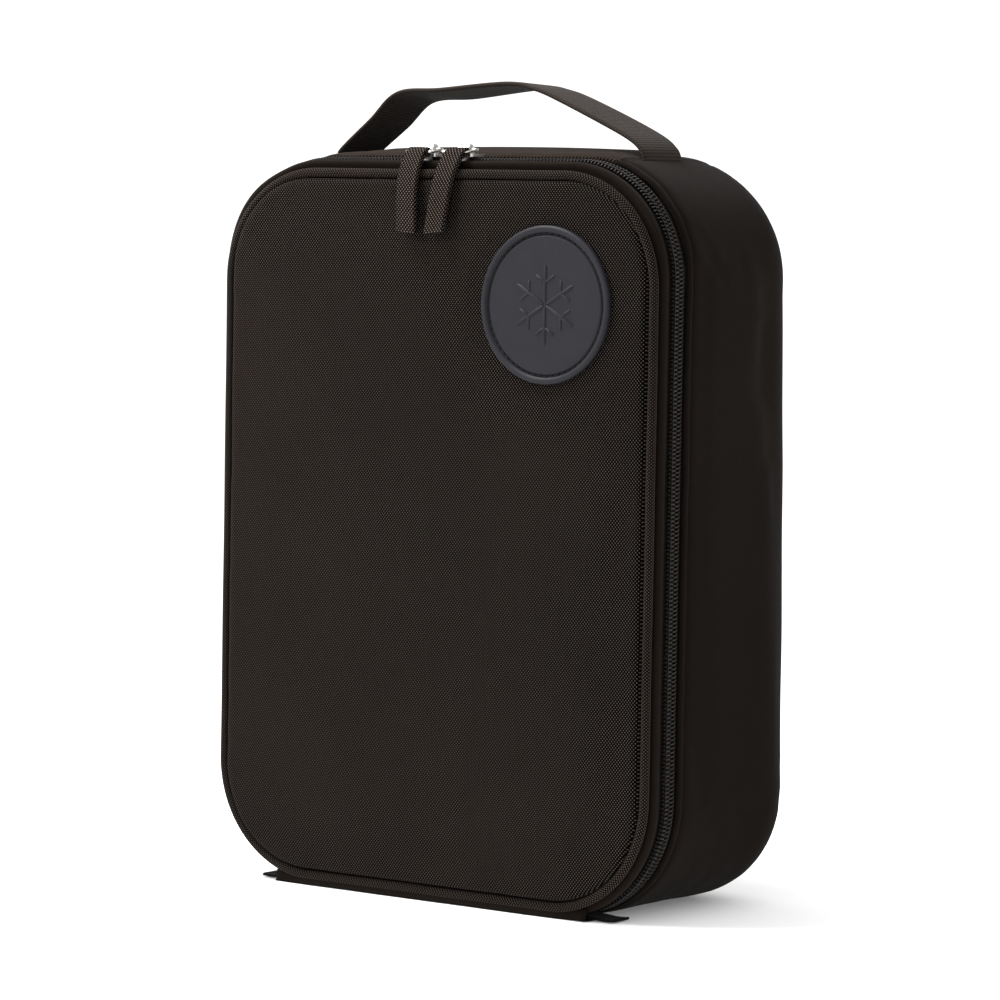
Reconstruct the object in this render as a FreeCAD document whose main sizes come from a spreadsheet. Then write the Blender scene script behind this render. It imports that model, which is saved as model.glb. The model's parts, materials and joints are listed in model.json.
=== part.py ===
import FreeCAD, Part
import math
import os
import Sketcher
from FreeCAD import Vector

# An insulated cooler bag that stands on its base. +X runs to the right along the front, as seen
# from in front of the bag, +Y runs towards the back and +Z up. The origin is the middle of the flat
# bottom of the body, on the floor. The front panel is a lid: it folds down about the piping along
# its bottom edge.

# Driving dimensions, in millimetres and degrees: alias, value, meaning.
SIZES = [
    ("body_width", 210, "outside width of the body"),
    ("body_low", 0, "underside of the body"),
    ("body_high", 285.5, "top of the body"),
    ("corner_top", 45, "outside radius of the body's upper corners"),
    ("corner_low", 46, "outside radius of the body's lower corners"),
    ("rim_front", -32.6, "Y of the folded front rim of the body"),
    ("rim_depth", 6.7, "depth of the padded front rim"),
    ("back_start", 26, "Y where the back begins to round in"),
    ("back_face", 50, "Y of the back"),
    ("back_round", 23.9, "radius that rounds the sides into the back"),
    ("fabric", 1, "outer fabric with its backing"),
    ("foam", 4.5, "foam in the body walls"),
    ("lining", 0.6, "inner lining"),
    ("seam_width", 1.8, "thickness of the bound seam inside the back"),
    ("seam_height", 5, "how far the bound seam stands into the bag"),
    ("band_width", 208, "outside width of the lid's band"),
    ("band_low", 0.7, "underside of the lid's band"),
    ("band_high", 283, "top of the lid's band"),
    ("band_corner_top", 44, "upper corner radius of the band"),
    ("band_corner_low", 45.3, "lower corner radius of the band"),
    ("band_front", -46.9, "Y of the front edge of the band"),
    ("band_back", -44, "Y of the back edge of the band"),
    ("chain_width", 205.6, "width over the outer face of the zip tape"),
    ("chain_low", 2.4, "lowest point of the outer face of the zip tape"),
    ("chain_high", 281.9, "highest point of the outer face of the zip tape"),
    ("chain_corner_top", 43, "upper corner radius of the zip"),
    ("chain_corner_low", 44, "lower corner radius of the zip"),
    ("chain_y", -38.5, "Y of the middle of the zip"),
    ("chain_gap", 0.8, "gap between the two halves of the zip"),
    ("tape_thick", 0.6, "thickness of the zip tape"),
    ("coil_width", 2.5, "width of one half of the coil"),
    ("coil_high", 2.2, "height of the coil above its tape"),
    ("zip_end", 72, "half the distance between the two ends of the zip"),
    ("zip_end_top", 20, "height below which the zip is left open along the bottom"),
    ("handle_half", 73, "half the distance between the two handle seams"),
    ("handle_y", -5.5, "Y of the middle of the handle"),
    ("handle_base", 284.2, "height where the handle leaves its seams"),
    ("handle_rise", 28.6, "height of the handle's highest point above its seams"),
    ("handle_trim", 20, "angle at which the handle's ends are trimmed, so that it can lean, in degrees"),
    ("webbing_width", 25, "width of the handle webbing"),
    ("webbing_thick", 1.8, "thickness of the handle webbing"),
    ("panel_width", 197, "width of the front panel"),
    ("panel_low", 6, "lower edge of the front panel"),
    ("panel_high", 275, "upper edge of the front panel"),
    ("panel_corner_top", 36, "upper corner radius of the front panel"),
    ("panel_corner_low", 39, "lower corner radius of the front panel"),
    ("panel_front", -52.4, "Y of the face of the front panel"),
    ("panel_foam", 5.4, "foam behind the front panel"),
    ("foam_margin", 1, "how far that foam stops short of the panel's edge"),
    ("piping_y", -49.2, "Y of the middle of the piping"),
    ("piping_round", 2.2, "outside radius of the piping"),
    ("piping_core", 1.5, "radius of the cord inside the piping"),
    ("piping_slot", 0.5, "gap between the edges of the strip that is folded round that cord"),
    ("piping_width", 202.1, "width over the middle of the piping"),
    ("piping_low", 3.45, "height of the middle of the piping at the bottom"),
    ("piping_high", 277.55, "height of the middle of the piping at the top"),
    ("piping_corner_top", 41.5, "upper corner radius of the piping's middle"),
    ("piping_corner_low", 43.3, "lower corner radius of the piping's middle"),
    ("badge_x", 54.9, "X of the middle of the badge"),
    ("badge_z", 229.7, "height of the middle of the badge"),
    ("badge_round", 29.6, "outside radius of the badge"),
    ("badge_thick", 1.5, "thickness of the badge inside its rim"),
    ("badge_rim", 0.9, "how far the badge's rim stands out"),
    ("badge_rim_width", 2.6, "width of the badge's rim"),
    ("badge_mark", 0.5, "how far the snowflake stands out"),
    ("arm_length", 15, "length of a snowflake arm"),
    ("arm_width", 1.6, "width of a snowflake arm"),
    ("twig_length", 5, "length of a twig on a snowflake arm"),
    ("twig_width", 1.3, "width of that twig"),
    ("twig_at", 8.5, "how far up its arm that twig starts"),
    ("slider_length", 12, "length of a zip slider along the zip"),
    ("slider_width", 9.6, "width of a slider across the zip"),
    ("slider_corner", 1.6, "corner radius of a slider's top plate"),
    ("slider_plate", 1.2, "thickness of a slider's top plate"),
    ("slider_lift", 0.5, "clearance between a slider's top plate and the coil"),
    ("slider_post", 0.3, "thickness of the post that joins a slider's two plates"),
    ("slider_under", 8, "width of a slider's plate under the tape"),
    ("arch_width", 5, "width of the arch that holds the bail"),
    ("arch_round", 2, "outside radius of that arch"),
    ("pin_play", 0.06, "radial clearance of the bail's wire in its holes"),
    ("left_slider_x", -11.8, "X where the left slider is parked"),
    ("right_slider_x", 5.3, "X where the right slider is parked"),
    ("bail_wire", 0.6, "radius of the bail's wire"),
    ("bail_width", 12.4, "width over the middle of the bail's wire"),
    ("bail_reach", 7.6, "distance between the bail's two bars"),
    ("bail_bend", 1.6, "radius of the bail's corners, to the middle of the wire"),
    ("bail_y", -39, "Y of the bail's pivot"),
    ("bail_z", 287.4, "height of the bail's pivot"),
    ("bail_droop", 8, "how far below level the bail lies, in degrees"),
    ("pull_width", 9, "width of the webbing pull"),
    ("pull_thick", 2.2, "thickness of the doubled webbing pull"),
    ("pull_length", 31, "how far the pull hangs below its bail"),
    ("left_pull_lean", 3.6, "how far the left pull's tip hangs to the right of its slider"),
    ("right_pull_lean", -1.3, "how far the right pull's tip hangs to the right of its slider"),
    ("pocket_width", 186, "width of the mesh pocket"),
    ("pocket_low", 14, "lower edge of the mesh pocket"),
    ("pocket_high", 150, "upper edge of the mesh pocket"),
    ("pocket_corner", 34, "radius of the mesh pocket's lower corners"),
    ("pocket_gap", 0.9, "gap between the mesh pocket and the lid's lining"),
    ("mesh_thick", 0.6, "thickness of the mesh"),
    ("elastic_high", 12, "height of the elastic along the pocket's top"),
    ("elastic_thick", 0.8, "thickness of that elastic"),
    ("lid_wall", 2.6, "depth of the low wall round the lid's lining"),
    ("wall_gap", 0.1, "gap between that wall and the zip tape"),
    ("binding_width", 5, "width of the binding round the inside of the lid"),
    ("binding_thick", 0.8, "thickness of that binding"),
    ("end_tab_width", 11, "width of a zip end tab"),
    ("end_tab_thick", 1.5, "thickness of a zip end tab"),
    ("end_tab_corner", 1.5, "corner radius of its tip"),
    ("end_tab_y", -40.5, "Y of the middle of a zip end tab"),
    ("end_tab_from", 67, "X where a zip end tab starts"),
    ("end_tab_to", 85, "X of the tip of a zip end tab"),
]

doc = FreeCAD.newDocument("cooler_bag")
sheet = doc.addObject("Spreadsheet::Sheet", "Sizes")
for row, (alias, value, meaning) in enumerate(SIZES, start=1):
    sheet.set(f"A{row}", meaning)
    sheet.set(f"B{row}", str(value))
    sheet.setAlias(f"B{row}", alias)
doc.recompute()


def size(alias):
    """The value of a driving dimension, read from the sheet."""
    return float(sheet.get(alias))


def cell(alias):
    """A driving dimension as it is written in an expression."""
    return f"Sizes.{alias}"


# An outline is a rounded rectangle that stands upright and is symmetric about X = 0. It is written
# as five expressions: width, low edge, high edge, upper corner radius, lower corner radius.
BODY = tuple(map(cell, ("body_width", "body_low", "body_high", "corner_top", "corner_low")))
BAND, CHAIN, PANEL, PIPING = [
    tuple(cell(f"{part}_{edge}") for edge in ("width", "low", "high", "corner_top", "corner_low"))
    for part in ("band", "chain", "panel", "piping")
]


def inset(outline, depth):
    """The same outline moved inwards by an expression."""
    width, low, high, top, bottom = outline
    return (f"{width} - 2 * ({depth})", f"{low} + ({depth})", f"{high} - ({depth})",
            f"{top} - ({depth})", f"{bottom} - ({depth})")


def outset(outline, depth):
    """The same outline moved outwards by an expression."""
    return inset(outline, f"0 - {depth}")


FOAM = inset(BODY, cell("fabric"))
LINING = inset(BODY, f"{cell('fabric')} + {cell('foam')}")
CAVITY = inset(BODY, f"{cell('fabric')} + {cell('foam')} + {cell('lining')}")


def bind(target, path, expression):
    target.setExpression(path, expression)


def new_body(label, y="0"):
    """A PartDesign body whose own XZ plane stands at the given Y."""
    body = doc.addObject("PartDesign::Body", label)
    body.Label = label
    bind(body, ".Placement.Base.y", y)
    return body


def new_sketch(body, name, role="XZ_Plane"):
    """A sketch on one of the body's own origin planes."""
    plane = [item for item in body.Origin.OriginFeatures if item.Role == role][0]
    sketch = body.newObject("Sketcher::SketchObject", name)
    sketch.AttachmentSupport = [(plane, "")]
    sketch.MapMode = "FlatFace"
    return sketch


def dimension(sketch, name, expression, *what):
    """A named sketch dimension bound to an expression."""
    index = sketch.addConstraint(Sketcher.Constraint(*what))
    sketch.renameConstraint(index, name)
    bind(sketch, f"Constraints.{name}", expression)


def draw_outline(sketch, outline, tag):
    """Draws a rounded rectangle: four sides joined by four tangent corner arcs. The arcs and lines
    start at rough places, and the named dimensions move them to the outline's own."""
    half = size("body_width") / 2
    low, high = 5, size("body_high") - 5
    top, bottom = size("corner_top") - 5, size("corner_low") - 5
    corners = [(half - bottom, low + bottom, bottom, -90), (half - top, high - top, top, 0),
               (-half + top, high - top, top, 90), (-half + bottom, low + bottom, bottom, 180)]
    first = sketch.GeometryCount
    for index, (x, z, radius, start) in enumerate(corners):
        px, pz, pradius, pstart = corners[index - 1]
        begin = math.radians(pstart + 90)
        finish = math.radians(start)
        sketch.addGeometry(Part.LineSegment(
            Vector(px + pradius * math.cos(begin), pz + pradius * math.sin(begin), 0),
            Vector(x + radius * math.cos(finish), z + radius * math.sin(finish), 0)), False)
        circle = Part.Circle(Vector(x, z, 0), Vector(0, 0, 1), radius)
        sketch.addGeometry(Part.ArcOfCircle(circle, finish, math.radians(start + 90)), False)
    for index in range(8):
        after = (index + 1) % 8
        sketch.addConstraint(Sketcher.Constraint("Tangent", first + index, 2, first + after, 1))
    floor, low_right, right, top_right, roof, top_left, left, low_left = range(first, first + 8)
    width, low_edge, high_edge, top_radius, bottom_radius = outline
    sketch.addConstraint(Sketcher.Constraint("Symmetric", floor, 1, floor, 2, -2))
    sketch.addConstraint(Sketcher.Constraint("Vertical", right))
    sketch.addConstraint(Sketcher.Constraint("Horizontal", roof))
    sketch.addConstraint(Sketcher.Constraint("Vertical", left))
    sketch.addConstraint(Sketcher.Constraint("Equal", low_right, low_left))
    sketch.addConstraint(Sketcher.Constraint("Equal", top_right, top_left))
    dimension(sketch, f"{tag}_top", top_radius, "Radius", top_right, top)
    dimension(sketch, f"{tag}_bottom", bottom_radius, "Radius", low_right, bottom)
    dimension(sketch, f"{tag}_width", width, "DistanceX", left, 1, right, 1, 2 * half)
    dimension(sketch, f"{tag}_high", high_edge, "DistanceY", -1, 1, roof, 1, high)
    tall = f"({high_edge}) - ({low_edge})"
    dimension(sketch, f"{tag}_tall", tall, "DistanceY", floor, 1, roof, 1, high - low)


def draw_box(sketch, x_half, z_low, z_high, tag):
    """Draws a rectangle that is symmetric about X = 0, from three expressions. Its lines start at
    rough places too."""
    points = [(-70, 20), (70, 20), (70, 90), (-70, 90)]
    first = sketch.GeometryCount
    for index, start in enumerate(points):
        end = points[(index + 1) % 4]
        sketch.addGeometry(Part.LineSegment(Vector(*start, 0), Vector(*end, 0)), False)
    for index in range(4):
        after = first + (index + 1) % 4
        sketch.addConstraint(Sketcher.Constraint("Coincident", first + index, 2, after, 1))
    sketch.addConstraint(Sketcher.Constraint("Symmetric", first, 1, first, 2, -2))
    sketch.addConstraint(Sketcher.Constraint("Vertical", first + 1))
    sketch.addConstraint(Sketcher.Constraint("Horizontal", first + 2))
    sketch.addConstraint(Sketcher.Constraint("Vertical", first + 3))
    dimension(sketch, f"{tag}_wide", f"2 * ({x_half})", "DistanceX", first, 1, first, 2, 140)
    dimension(sketch, f"{tag}_high", z_high, "DistanceY", -1, 1, first + 2, 1, 90)
    dimension(sketch, f"{tag}_tall", f"({z_high}) - ({z_low})", "DistanceY", first, 1, first + 2, 2, 70)


def draw_circle(sketch, x, z, radius, tag):
    """Draws a circle from three expressions."""
    index = sketch.addGeometry(Part.Circle(Vector(20, 200, 0), Vector(0, 0, 1), 10), False)
    dimension(sketch, f"{tag}_radius", radius, "Radius", index, 10)
    dimension(sketch, f"{tag}_x", x, "DistanceX", -1, 1, index, 3, 20)
    dimension(sketch, f"{tag}_z", z, "DistanceY", -1, 1, index, 3, 200)


def draw_folded_strip(sketch, height, outer, inner, slot):
    """Draws the section of a strip folded round a cord: a ring that a slot opens to the back."""
    centre = Vector(0, size("piping_low"), 0)
    far, near, half = size("piping_round"), size("piping_core"), size("piping_slot") / 2
    ends = [math.asin(half / radius) for radius in (far, near)]
    for radius, end in zip((far, near), ends):
        circle = Part.Circle(centre, Vector(0, 0, 1), radius)
        sketch.addGeometry(Part.ArcOfCircle(circle, end, 2 * math.pi - end), False)
    for side in (1, -1):
        sketch.addGeometry(Part.LineSegment(
            centre + Vector(near * math.cos(ends[1]), side * half, 0),
            centre + Vector(far * math.cos(ends[0]), side * half, 0)), False)
    joins = [(0, 1, 2, 2), (1, 1, 2, 1), (0, 2, 3, 2), (1, 2, 3, 1), (0, 3, 1, 3)]
    for join in joins:
        sketch.addConstraint(Sketcher.Constraint("Coincident", *join))
    sketch.addConstraint(Sketcher.Constraint("PointOnObject", 0, 3, -2))
    sketch.addConstraint(Sketcher.Constraint("Horizontal", 2))
    sketch.addConstraint(Sketcher.Constraint("Horizontal", 3))
    dimension(sketch, "outer_radius", outer, "Radius", 0, far)
    dimension(sketch, "inner_radius", inner, "Radius", 1, near)
    dimension(sketch, "slot_width", slot, "DistanceY", 3, 1, 2, 1, 2 * half)
    dimension(sketch, "slot_place", f"({slot}) / 2", "DistanceY", 3, 1, 0, 3, half)
    dimension(sketch, "middle_height", height, "DistanceY", -1, 1, 0, 3, centre.y)


def pad_back(body, sketch, length, name):
    """Pads a sketch from its plane towards the back."""
    pad = body.newObject("PartDesign::Pad", name)
    pad.Profile = sketch
    pad.Reversed = True
    bind(pad, "Length", length)
    doc.recompute()
    return pad


def pad_ring(body, outer, inner, length, name):
    """Pads the wall between two outlines towards the back."""
    sketch = new_sketch(body, f"{name}_sketch")
    draw_outline(sketch, outer, "outer")
    draw_outline(sketch, inner, "inner")
    return pad_back(body, sketch, length, name)


def open_bottom(body, name):
    """Cuts the stretch along the bottom where the zip doesn't run."""
    before = body.Shape.Volume
    sketch = new_sketch(body, f"{name}_sketch")
    draw_box(sketch, cell("zip_end"), "-20", cell("zip_end_top"), "gap")
    pocket = body.newObject("PartDesign::Pocket", name)
    pocket.Profile = sketch
    pocket.Type = "ThroughAll"
    pocket.Midplane = True
    doc.recompute()
    assert body.Shape.Volume < before - 1, f"{name} cuts nothing"


def flat_faces(shape, y):
    """Names of the faces that lie flat at a local Y."""
    names = []
    for index, face in enumerate(shape.Faces, start=1):
        box = face.BoundBox
        if box.YLength < 1e-6 and abs(box.YMin - y) < 1e-6:
            names.append(f"Face{index}")
    return names


def edges_at(shape, y):
    """Names of the edges that lie at a local Y."""
    names = []
    for index, edge in enumerate(shape.Edges, start=1):
        box = edge.BoundBox
        if box.YLength < 1e-6 and abs(box.YMin - y) < 1e-6:
            names.append(f"Edge{index}")
    return names


def round_edges(body, feature, y, radius, name):
    """Fillets the edges at a local Y by an expression."""
    fillet = body.newObject("PartDesign::Fillet", name)
    fillet.Base = (feature, edges_at(feature.Shape, y))
    bind(fillet, "Radius", radius)
    doc.recompute()
    return fillet


def hollow_tray(label, outline, start, end, depth, radius, wall):
    """A tray that is open to the front, with a rounded back, of even wall thickness."""
    body = new_body(label, start)
    sketch = new_sketch(body, "tray_outline")
    draw_outline(sketch, outline, "outer")
    pad = pad_back(body, sketch, f"({end}) - ({start})", "tray_block")
    fillet = round_edges(body, pad, depth, radius, "back_rounding")
    before = body.Shape.Volume
    shell = body.newObject("PartDesign::Thickness", "tray_wall")
    shell.Base = (fillet, flat_faces(fillet.Shape, 0))
    shell.Mode = "Skin"
    shell.Join = "Intersection"
    shell.Reversed = True
    bind(shell, "Value", wall)
    doc.recompute()
    assert body.Shape.Volume < before * 0.8, f"{label} isn't hollow"
    return body


def boolean(kind, label, base, tool):
    """A Part boolean of two objects."""
    result = doc.addObject(f"Part::{kind}", label)
    result.Label = label
    result.Base = base
    result.Tool = tool
    doc.recompute()
    return result


def box_tool(name, x_half, y_low, y_high, z_low, z_high):
    """A box that is symmetric about X = 0, from expressions."""
    tool = doc.addObject("Part::Box", name)
    tool.Label = name
    bind(tool, "Length", f"2 * ({x_half})")
    bind(tool, "Width", f"({y_high}) - ({y_low})")
    bind(tool, "Height", f"({z_high}) - ({z_low})")
    bind(tool, ".Placement.Base.x", f"0 - ({x_half})")
    bind(tool, ".Placement.Base.y", y_low)
    bind(tool, ".Placement.Base.z", z_low)
    doc.recompute()
    return tool


# ---------------------------------------------------------------- body


def build_gusset():
    """The outer fabric round the sides, with a padded rim; the top stretch is a piece of its own."""
    ring = new_body("gusset_ring", cell("rim_front"))
    pad_ring(ring, BODY, FOAM, f"{cell('back_start')} - {cell('rim_front')}", "gusset_wall")
    pad_ring(ring, BODY, CHAIN, cell("rim_depth"), "gusset_rim")
    over_top = box_tool("handle_seams", cell("handle_half"), "-60", "60", "200", "300")
    side = boolean("Cut", "side_gusset", ring, over_top)
    top = boolean("Common", "top_gusset", ring, over_top)
    return [side, top]


def build_back_panel():
    start, end = cell("back_start"), cell("back_face")
    depth = size("back_face") - size("back_start")
    return hollow_tray("back_panel", BODY, start, end, depth, cell("back_round"), cell("fabric"))


def build_body_foam():
    """Foam in the side walls, behind the padded rim."""
    front = f"{cell('rim_front')} + {cell('rim_depth')}"
    body = new_body("body_foam", front)
    pad_ring(body, FOAM, LINING, f"{cell('back_start')} - ({front})", "foam_wall")
    return body


def build_back_foam():
    start, end = cell("back_start"), f"{cell('back_face')} - {cell('fabric')}"
    depth = size("back_face") - size("fabric") - size("back_start")
    radius = f"{cell('back_round')} - {cell('fabric')}"
    return hollow_tray("back_foam", FOAM, start, end, depth, radius, cell("foam"))


def build_body_liner():
    """The inner lining, with a front lip that closes off the foam."""
    start = f"{cell('rim_front')} + {cell('rim_depth')}"
    end = f"{cell('back_face')} - {cell('fabric')} - {cell('foam')}"
    depth = size("back_face") - size("fabric") - size("foam") - size("rim_front") - size("rim_depth")
    radius = f"{cell('back_round')} - {cell('fabric')} - {cell('foam')}"
    body = hollow_tray("body_liner", LINING, start, end, depth, radius, cell("lining"))
    lip = new_sketch(body, "lip_outline")
    draw_outline(lip, inset(CHAIN, cell("tape_thick")), "outer")
    draw_outline(lip, CAVITY, "inner")
    lip_pad = body.newObject("PartDesign::Pad", "front_lip")
    lip_pad.Profile = lip
    bind(lip_pad, "Length", cell("lining"))
    doc.recompute()
    return body


def build_liner_binding():
    """The bound seam that stands into the bag where the side and back linings meet."""
    body = new_body("liner_binding", f"{cell('back_start')} - {cell('seam_width')}")
    pad_ring(body, CAVITY, inset(CAVITY, cell("seam_height")), cell("seam_width"), "bound_seam")
    return body


def build_tape(label, front, back):
    """One half of the zip tape, open along the bottom."""
    body = new_body(label, front)
    pad_ring(body, CHAIN, inset(CHAIN, cell("tape_thick")), f"({back}) - ({front})", "tape_strip")
    open_bottom(body, "tape_ends")
    return body


def build_coil(label, front):
    """One half of the zip's coil, standing on its tape and open along the bottom."""
    body = new_body(label, front)
    pad_ring(body, outset(CHAIN, cell("coil_high")), CHAIN, cell("coil_width"), "coil_row")
    open_bottom(body, "coil_ends")
    return body


def build_zip():
    half_gap = f"{cell('chain_gap')} / 2"
    middle = cell("chain_y")
    body_front = f"{middle} + {half_gap}"
    rim_end = f"{cell('rim_front')} + {cell('rim_depth')} - {cell('lining')} - 0.1"
    lid_back = f"{middle} - {half_gap}"
    return {
        "body": [build_tape("body_zip_tape", body_front, rim_end),
                 build_coil("body_zip_coil", body_front)],
        "lid": [build_tape("lid_zip_tape", cell("band_front"), lid_back),
                build_coil("lid_zip_coil", f"{lid_back} - {cell('coil_width')}")],
    }


def band_ring(name, front, back):
    """A full ring of the lid's band."""
    ring = new_body(name, front)
    pad_ring(ring, BAND, inset(BAND, cell("fabric")), f"({back}) - ({front})", "band_wall")
    return ring


def build_hinge_strip():
    """The strip of fabric along the bottom between the ends of the zip."""
    front, back = f"{cell('band_front')} + 0.3", cell("rim_front")
    ring = band_ring("hinge_ring", front, back)
    keep = box_tool("hinge_length", f"{cell('zip_end')} - 0.5", "-60", "0", "-5", cell("zip_end_top"))
    return boolean("Common", "hinge_strip", ring, keep)


def build_end_tab(side):
    """A folded ribbon tab that sticks out from under one lower front corner."""
    tab = doc.addObject("Part::Box", "ribbon")
    bind(tab, "Length", f"{cell('end_tab_to')} - {cell('end_tab_from')}")
    bind(tab, "Width", cell("end_tab_width"))
    bind(tab, "Height", cell("end_tab_thick"))
    start = cell("end_tab_from") if side == "right" else f"0 - {cell('end_tab_to')}"
    bind(tab, ".Placement.Base.x", start)
    bind(tab, ".Placement.Base.y", f"{cell('end_tab_y')} - {cell('end_tab_width')} / 2")
    doc.recompute()
    tip = size("end_tab_to") if side == "right" else -size("end_tab_to")
    rounded = doc.addObject("Part::Fillet", f"zip_end_tab_{side}")
    rounded.Label = f"zip_end_tab_{side}"
    rounded.Base = tab
    edges = []
    for index, edge in enumerate(tab.Shape.Edges, start=1):
        box = edge.BoundBox
        if abs(box.XMin - tip) < 1e-6 and abs(box.XMax - tip) < 1e-6 and box.ZLength > 1:
            edges.append((index, size("end_tab_corner"), size("end_tab_corner")))
    rounded.Edges = edges
    doc.recompute()
    return rounded


# ---------------------------------------------------------------- handle and pulls


def ribbon(label, points, width, thickness, across):
    """A flat strap of even thickness whose middle follows a smooth curve through the points."""
    curve = Part.BSplineCurve()
    curve.interpolate(points)
    start = across * (-width / 2)
    edge = curve.toShape()
    edge.translate(start)
    surface = edge.extrude(across * width)
    solid = surface.makeOffsetShape(thickness / 2, 0.01, fill=False)
    strap = solid.makeOffsetShape(-thickness, 0.01, fill=True)
    feature = doc.addObject("Part::Feature", label)
    feature.Label = label
    feature.Shape = strap
    return feature


def build_handle():
    """Webbing that leaves two seams across the top and slouches over to one side."""
    half, base, rise = size("handle_half"), size("handle_base"), size("handle_rise")
    y = size("handle_y")
    shape = [(-1.0, 0.0), (-1.01, 0.09), (-0.8, 0.5), (-0.62, 0.86), (-0.33, 0.93), (0.07, 1.0),
             (0.47, 0.78), (0.85, 0.36), (0.97, 0.16), (1.0, 0.0)]
    points = [Vector(half * x, y, base + rise * z) for x, z in shape]
    width, thick = size("webbing_width"), size("webbing_thick")
    strap = ribbon("handle_arch", points, width, thick, Vector(0, 1, 0))
    # the ends are trimmed to a shallow point, so that the strap can lean without meeting the top
    spare = 9
    reach = width / 2 + 1
    drop = reach * math.tan(math.radians(size("handle_trim")))
    corners = [(-reach, drop), (0, 0), (reach, drop), (reach, -spare), (-reach, -spare), (-reach, drop)]
    trim = Part.makePolygon([Vector(-half - spare, y + along, base + up) for along, up in corners])
    wedge = Part.Face(trim).extrude(Vector(2 * (half + spare), 0, 0))
    handle = doc.addObject("Part::Feature", "handle_strap")
    handle.Label = "handle_strap"
    handle.Shape = strap.Shape.cut(wedge)
    return handle


def build_slider(side):
    """A zip slider: a plate over the coil, a flange on the lid's side, a thin post between the two
    halves of the coil, a plate under the tape and an arch that holds the bail."""
    y, length, width = size("chain_y"), size("slider_length"), size("slider_width")
    plate, post, under = size("slider_plate"), size("slider_post"), size("slider_under")
    tape_top = size("chain_high")
    plate_low = tape_top + size("coil_high") + size("slider_lift")
    plate_high = plate_low + plate
    under_high = tape_top - size("tape_thick") - size("slider_lift")
    top = Part.makeBox(length, width, plate, Vector(-length / 2, y - width / 2, plate_low))
    upright = [edge for edge in top.Edges if edge.BoundBox.ZLength > plate / 2]
    top = top.makeFillet(size("slider_corner"), upright)
    flange_long, flange_low = length * 0.66, tape_top + 0.2
    flange = Part.makeBox(flange_long, 1, plate_low - flange_low,
                          Vector(-flange_long / 2, y - width / 2, flange_low))
    under_long = length - 1
    base = Part.makeBox(under_long, under, 1, Vector(-under_long / 2, y - under / 2, under_high - 1))
    post_long = length / 4
    wall = Part.makeBox(post_long, post, plate_low - under_high,
                        Vector(-post_long / 2, y - post / 2, under_high))
    pivot = Vector(0, size("bail_y"), size("bail_z"))
    arch_wide, arch_round = size("arch_width"), size("arch_round")
    start = pivot - Vector(arch_wide / 2, 0, 0)
    arch = Part.makeCylinder(arch_round, arch_wide, start, Vector(1, 0, 0))
    foot = Part.makeBox(arch_wide, 2 * arch_round, pivot.z - plate_high,
                        Vector(start.x, pivot.y - arch_round, plate_high))
    hole = Part.makeCylinder(size("bail_wire") + size("pin_play"), 2 * arch_wide,
                             pivot - Vector(arch_wide, 0, 0), Vector(1, 0, 0))
    shape = top.fuse([flange, base, wall, arch, foot]).removeSplitter().cut(hole)
    shape.translate(Vector(size(f"{side}_slider_x"), 0, 0))
    slider = doc.addObject("Part::Feature", f"zip_slider_{side}")
    slider.Label = f"zip_slider_{side}"
    slider.Shape = shape
    return slider


def build_bail(side):
    """A closed wire bail: one bar turns in the slider's arch and the other carries the pull."""
    half, reach = size("bail_width") / 2, size("bail_reach")
    bend, wire = size("bail_bend"), size("bail_wire")
    centres = [(half - bend, -reach + bend, -90), (half - bend, -bend, 0),
               (-half + bend, -bend, 90), (-half + bend, -reach + bend, 180)]
    edges = []
    for index, (x, y, start) in enumerate(centres):
        px, py, pstart = centres[index - 1]
        turn = math.radians(pstart + 90)
        begin = Vector(px + bend * math.cos(turn), py + bend * math.sin(turn), 0)
        turn = math.radians(start)
        end = Vector(x + bend * math.cos(turn), y + bend * math.sin(turn), 0)
        edges.append(Part.makeLine(begin, end))
        edges.append(Part.makeCircle(bend, Vector(x, y, 0), Vector(0, 0, 1), start, start + 90))
    path = Part.Wire(Part.__sortEdges__(edges))
    ring = Part.Wire(Part.makeCircle(wire, Vector(0, -reach, 0), Vector(1, 0, 0)))
    shape = path.makePipeShell([ring], True, False)
    shape.rotate(Vector(0, 0, 0), Vector(1, 0, 0), size("bail_droop"))
    shape.translate(Vector(size(f"{side}_slider_x"), size("bail_y"), size("bail_z")))
    bail = doc.addObject("Part::Feature", f"zip_bail_{side}")
    bail.Label = f"zip_bail_{side}"
    bail.Shape = shape
    return bail


def build_pull(side):
    """Doubled webbing that wraps the bail's outer bar, bends over the edge and hangs in front."""
    droop = math.radians(size("bail_droop"))
    bar_y = size("bail_y") - size("bail_reach") * math.cos(droop)
    bar_z = size("bail_z") - size("bail_reach") * math.sin(droop)
    x, wide, thick = size(f"{side}_slider_x"), size("pull_width"), size("pull_thick")
    length = size("pull_length")
    lean = size(f"{side}_pull_lean")
    shape = [(0.0, 0.0, 0.0), (0.05, -3.4, -0.07), (0.25, -7.0, -0.27), (0.6, -9.0, -0.55),
             (1.0, -10.4, -1.0)]
    points = [Vector(x + lean * a, bar_y + y, bar_z + length * z) for a, y, z in shape]
    strap = ribbon(f"pull_ribbon_{side}", points, wide, thick, Vector(1, 0, 0)).Shape
    wire = size("bail_wire")
    start = Vector(x - wide / 2, bar_y, bar_z)
    eye = Part.makeCylinder(wire + thick / 2, wide, start, Vector(1, 0, 0))
    hole = Part.makeCylinder(wire + size("pin_play"), wide + 2, start - Vector(1, 0, 0), Vector(1, 0, 0))
    pull = doc.addObject("Part::Feature", f"zip_pull_{side}")
    pull.Label = f"zip_pull_{side}"
    pull.Shape = strap.fuse(eye).removeSplitter().cut(hole)
    return pull


# ---------------------------------------------------------------- lid


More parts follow.
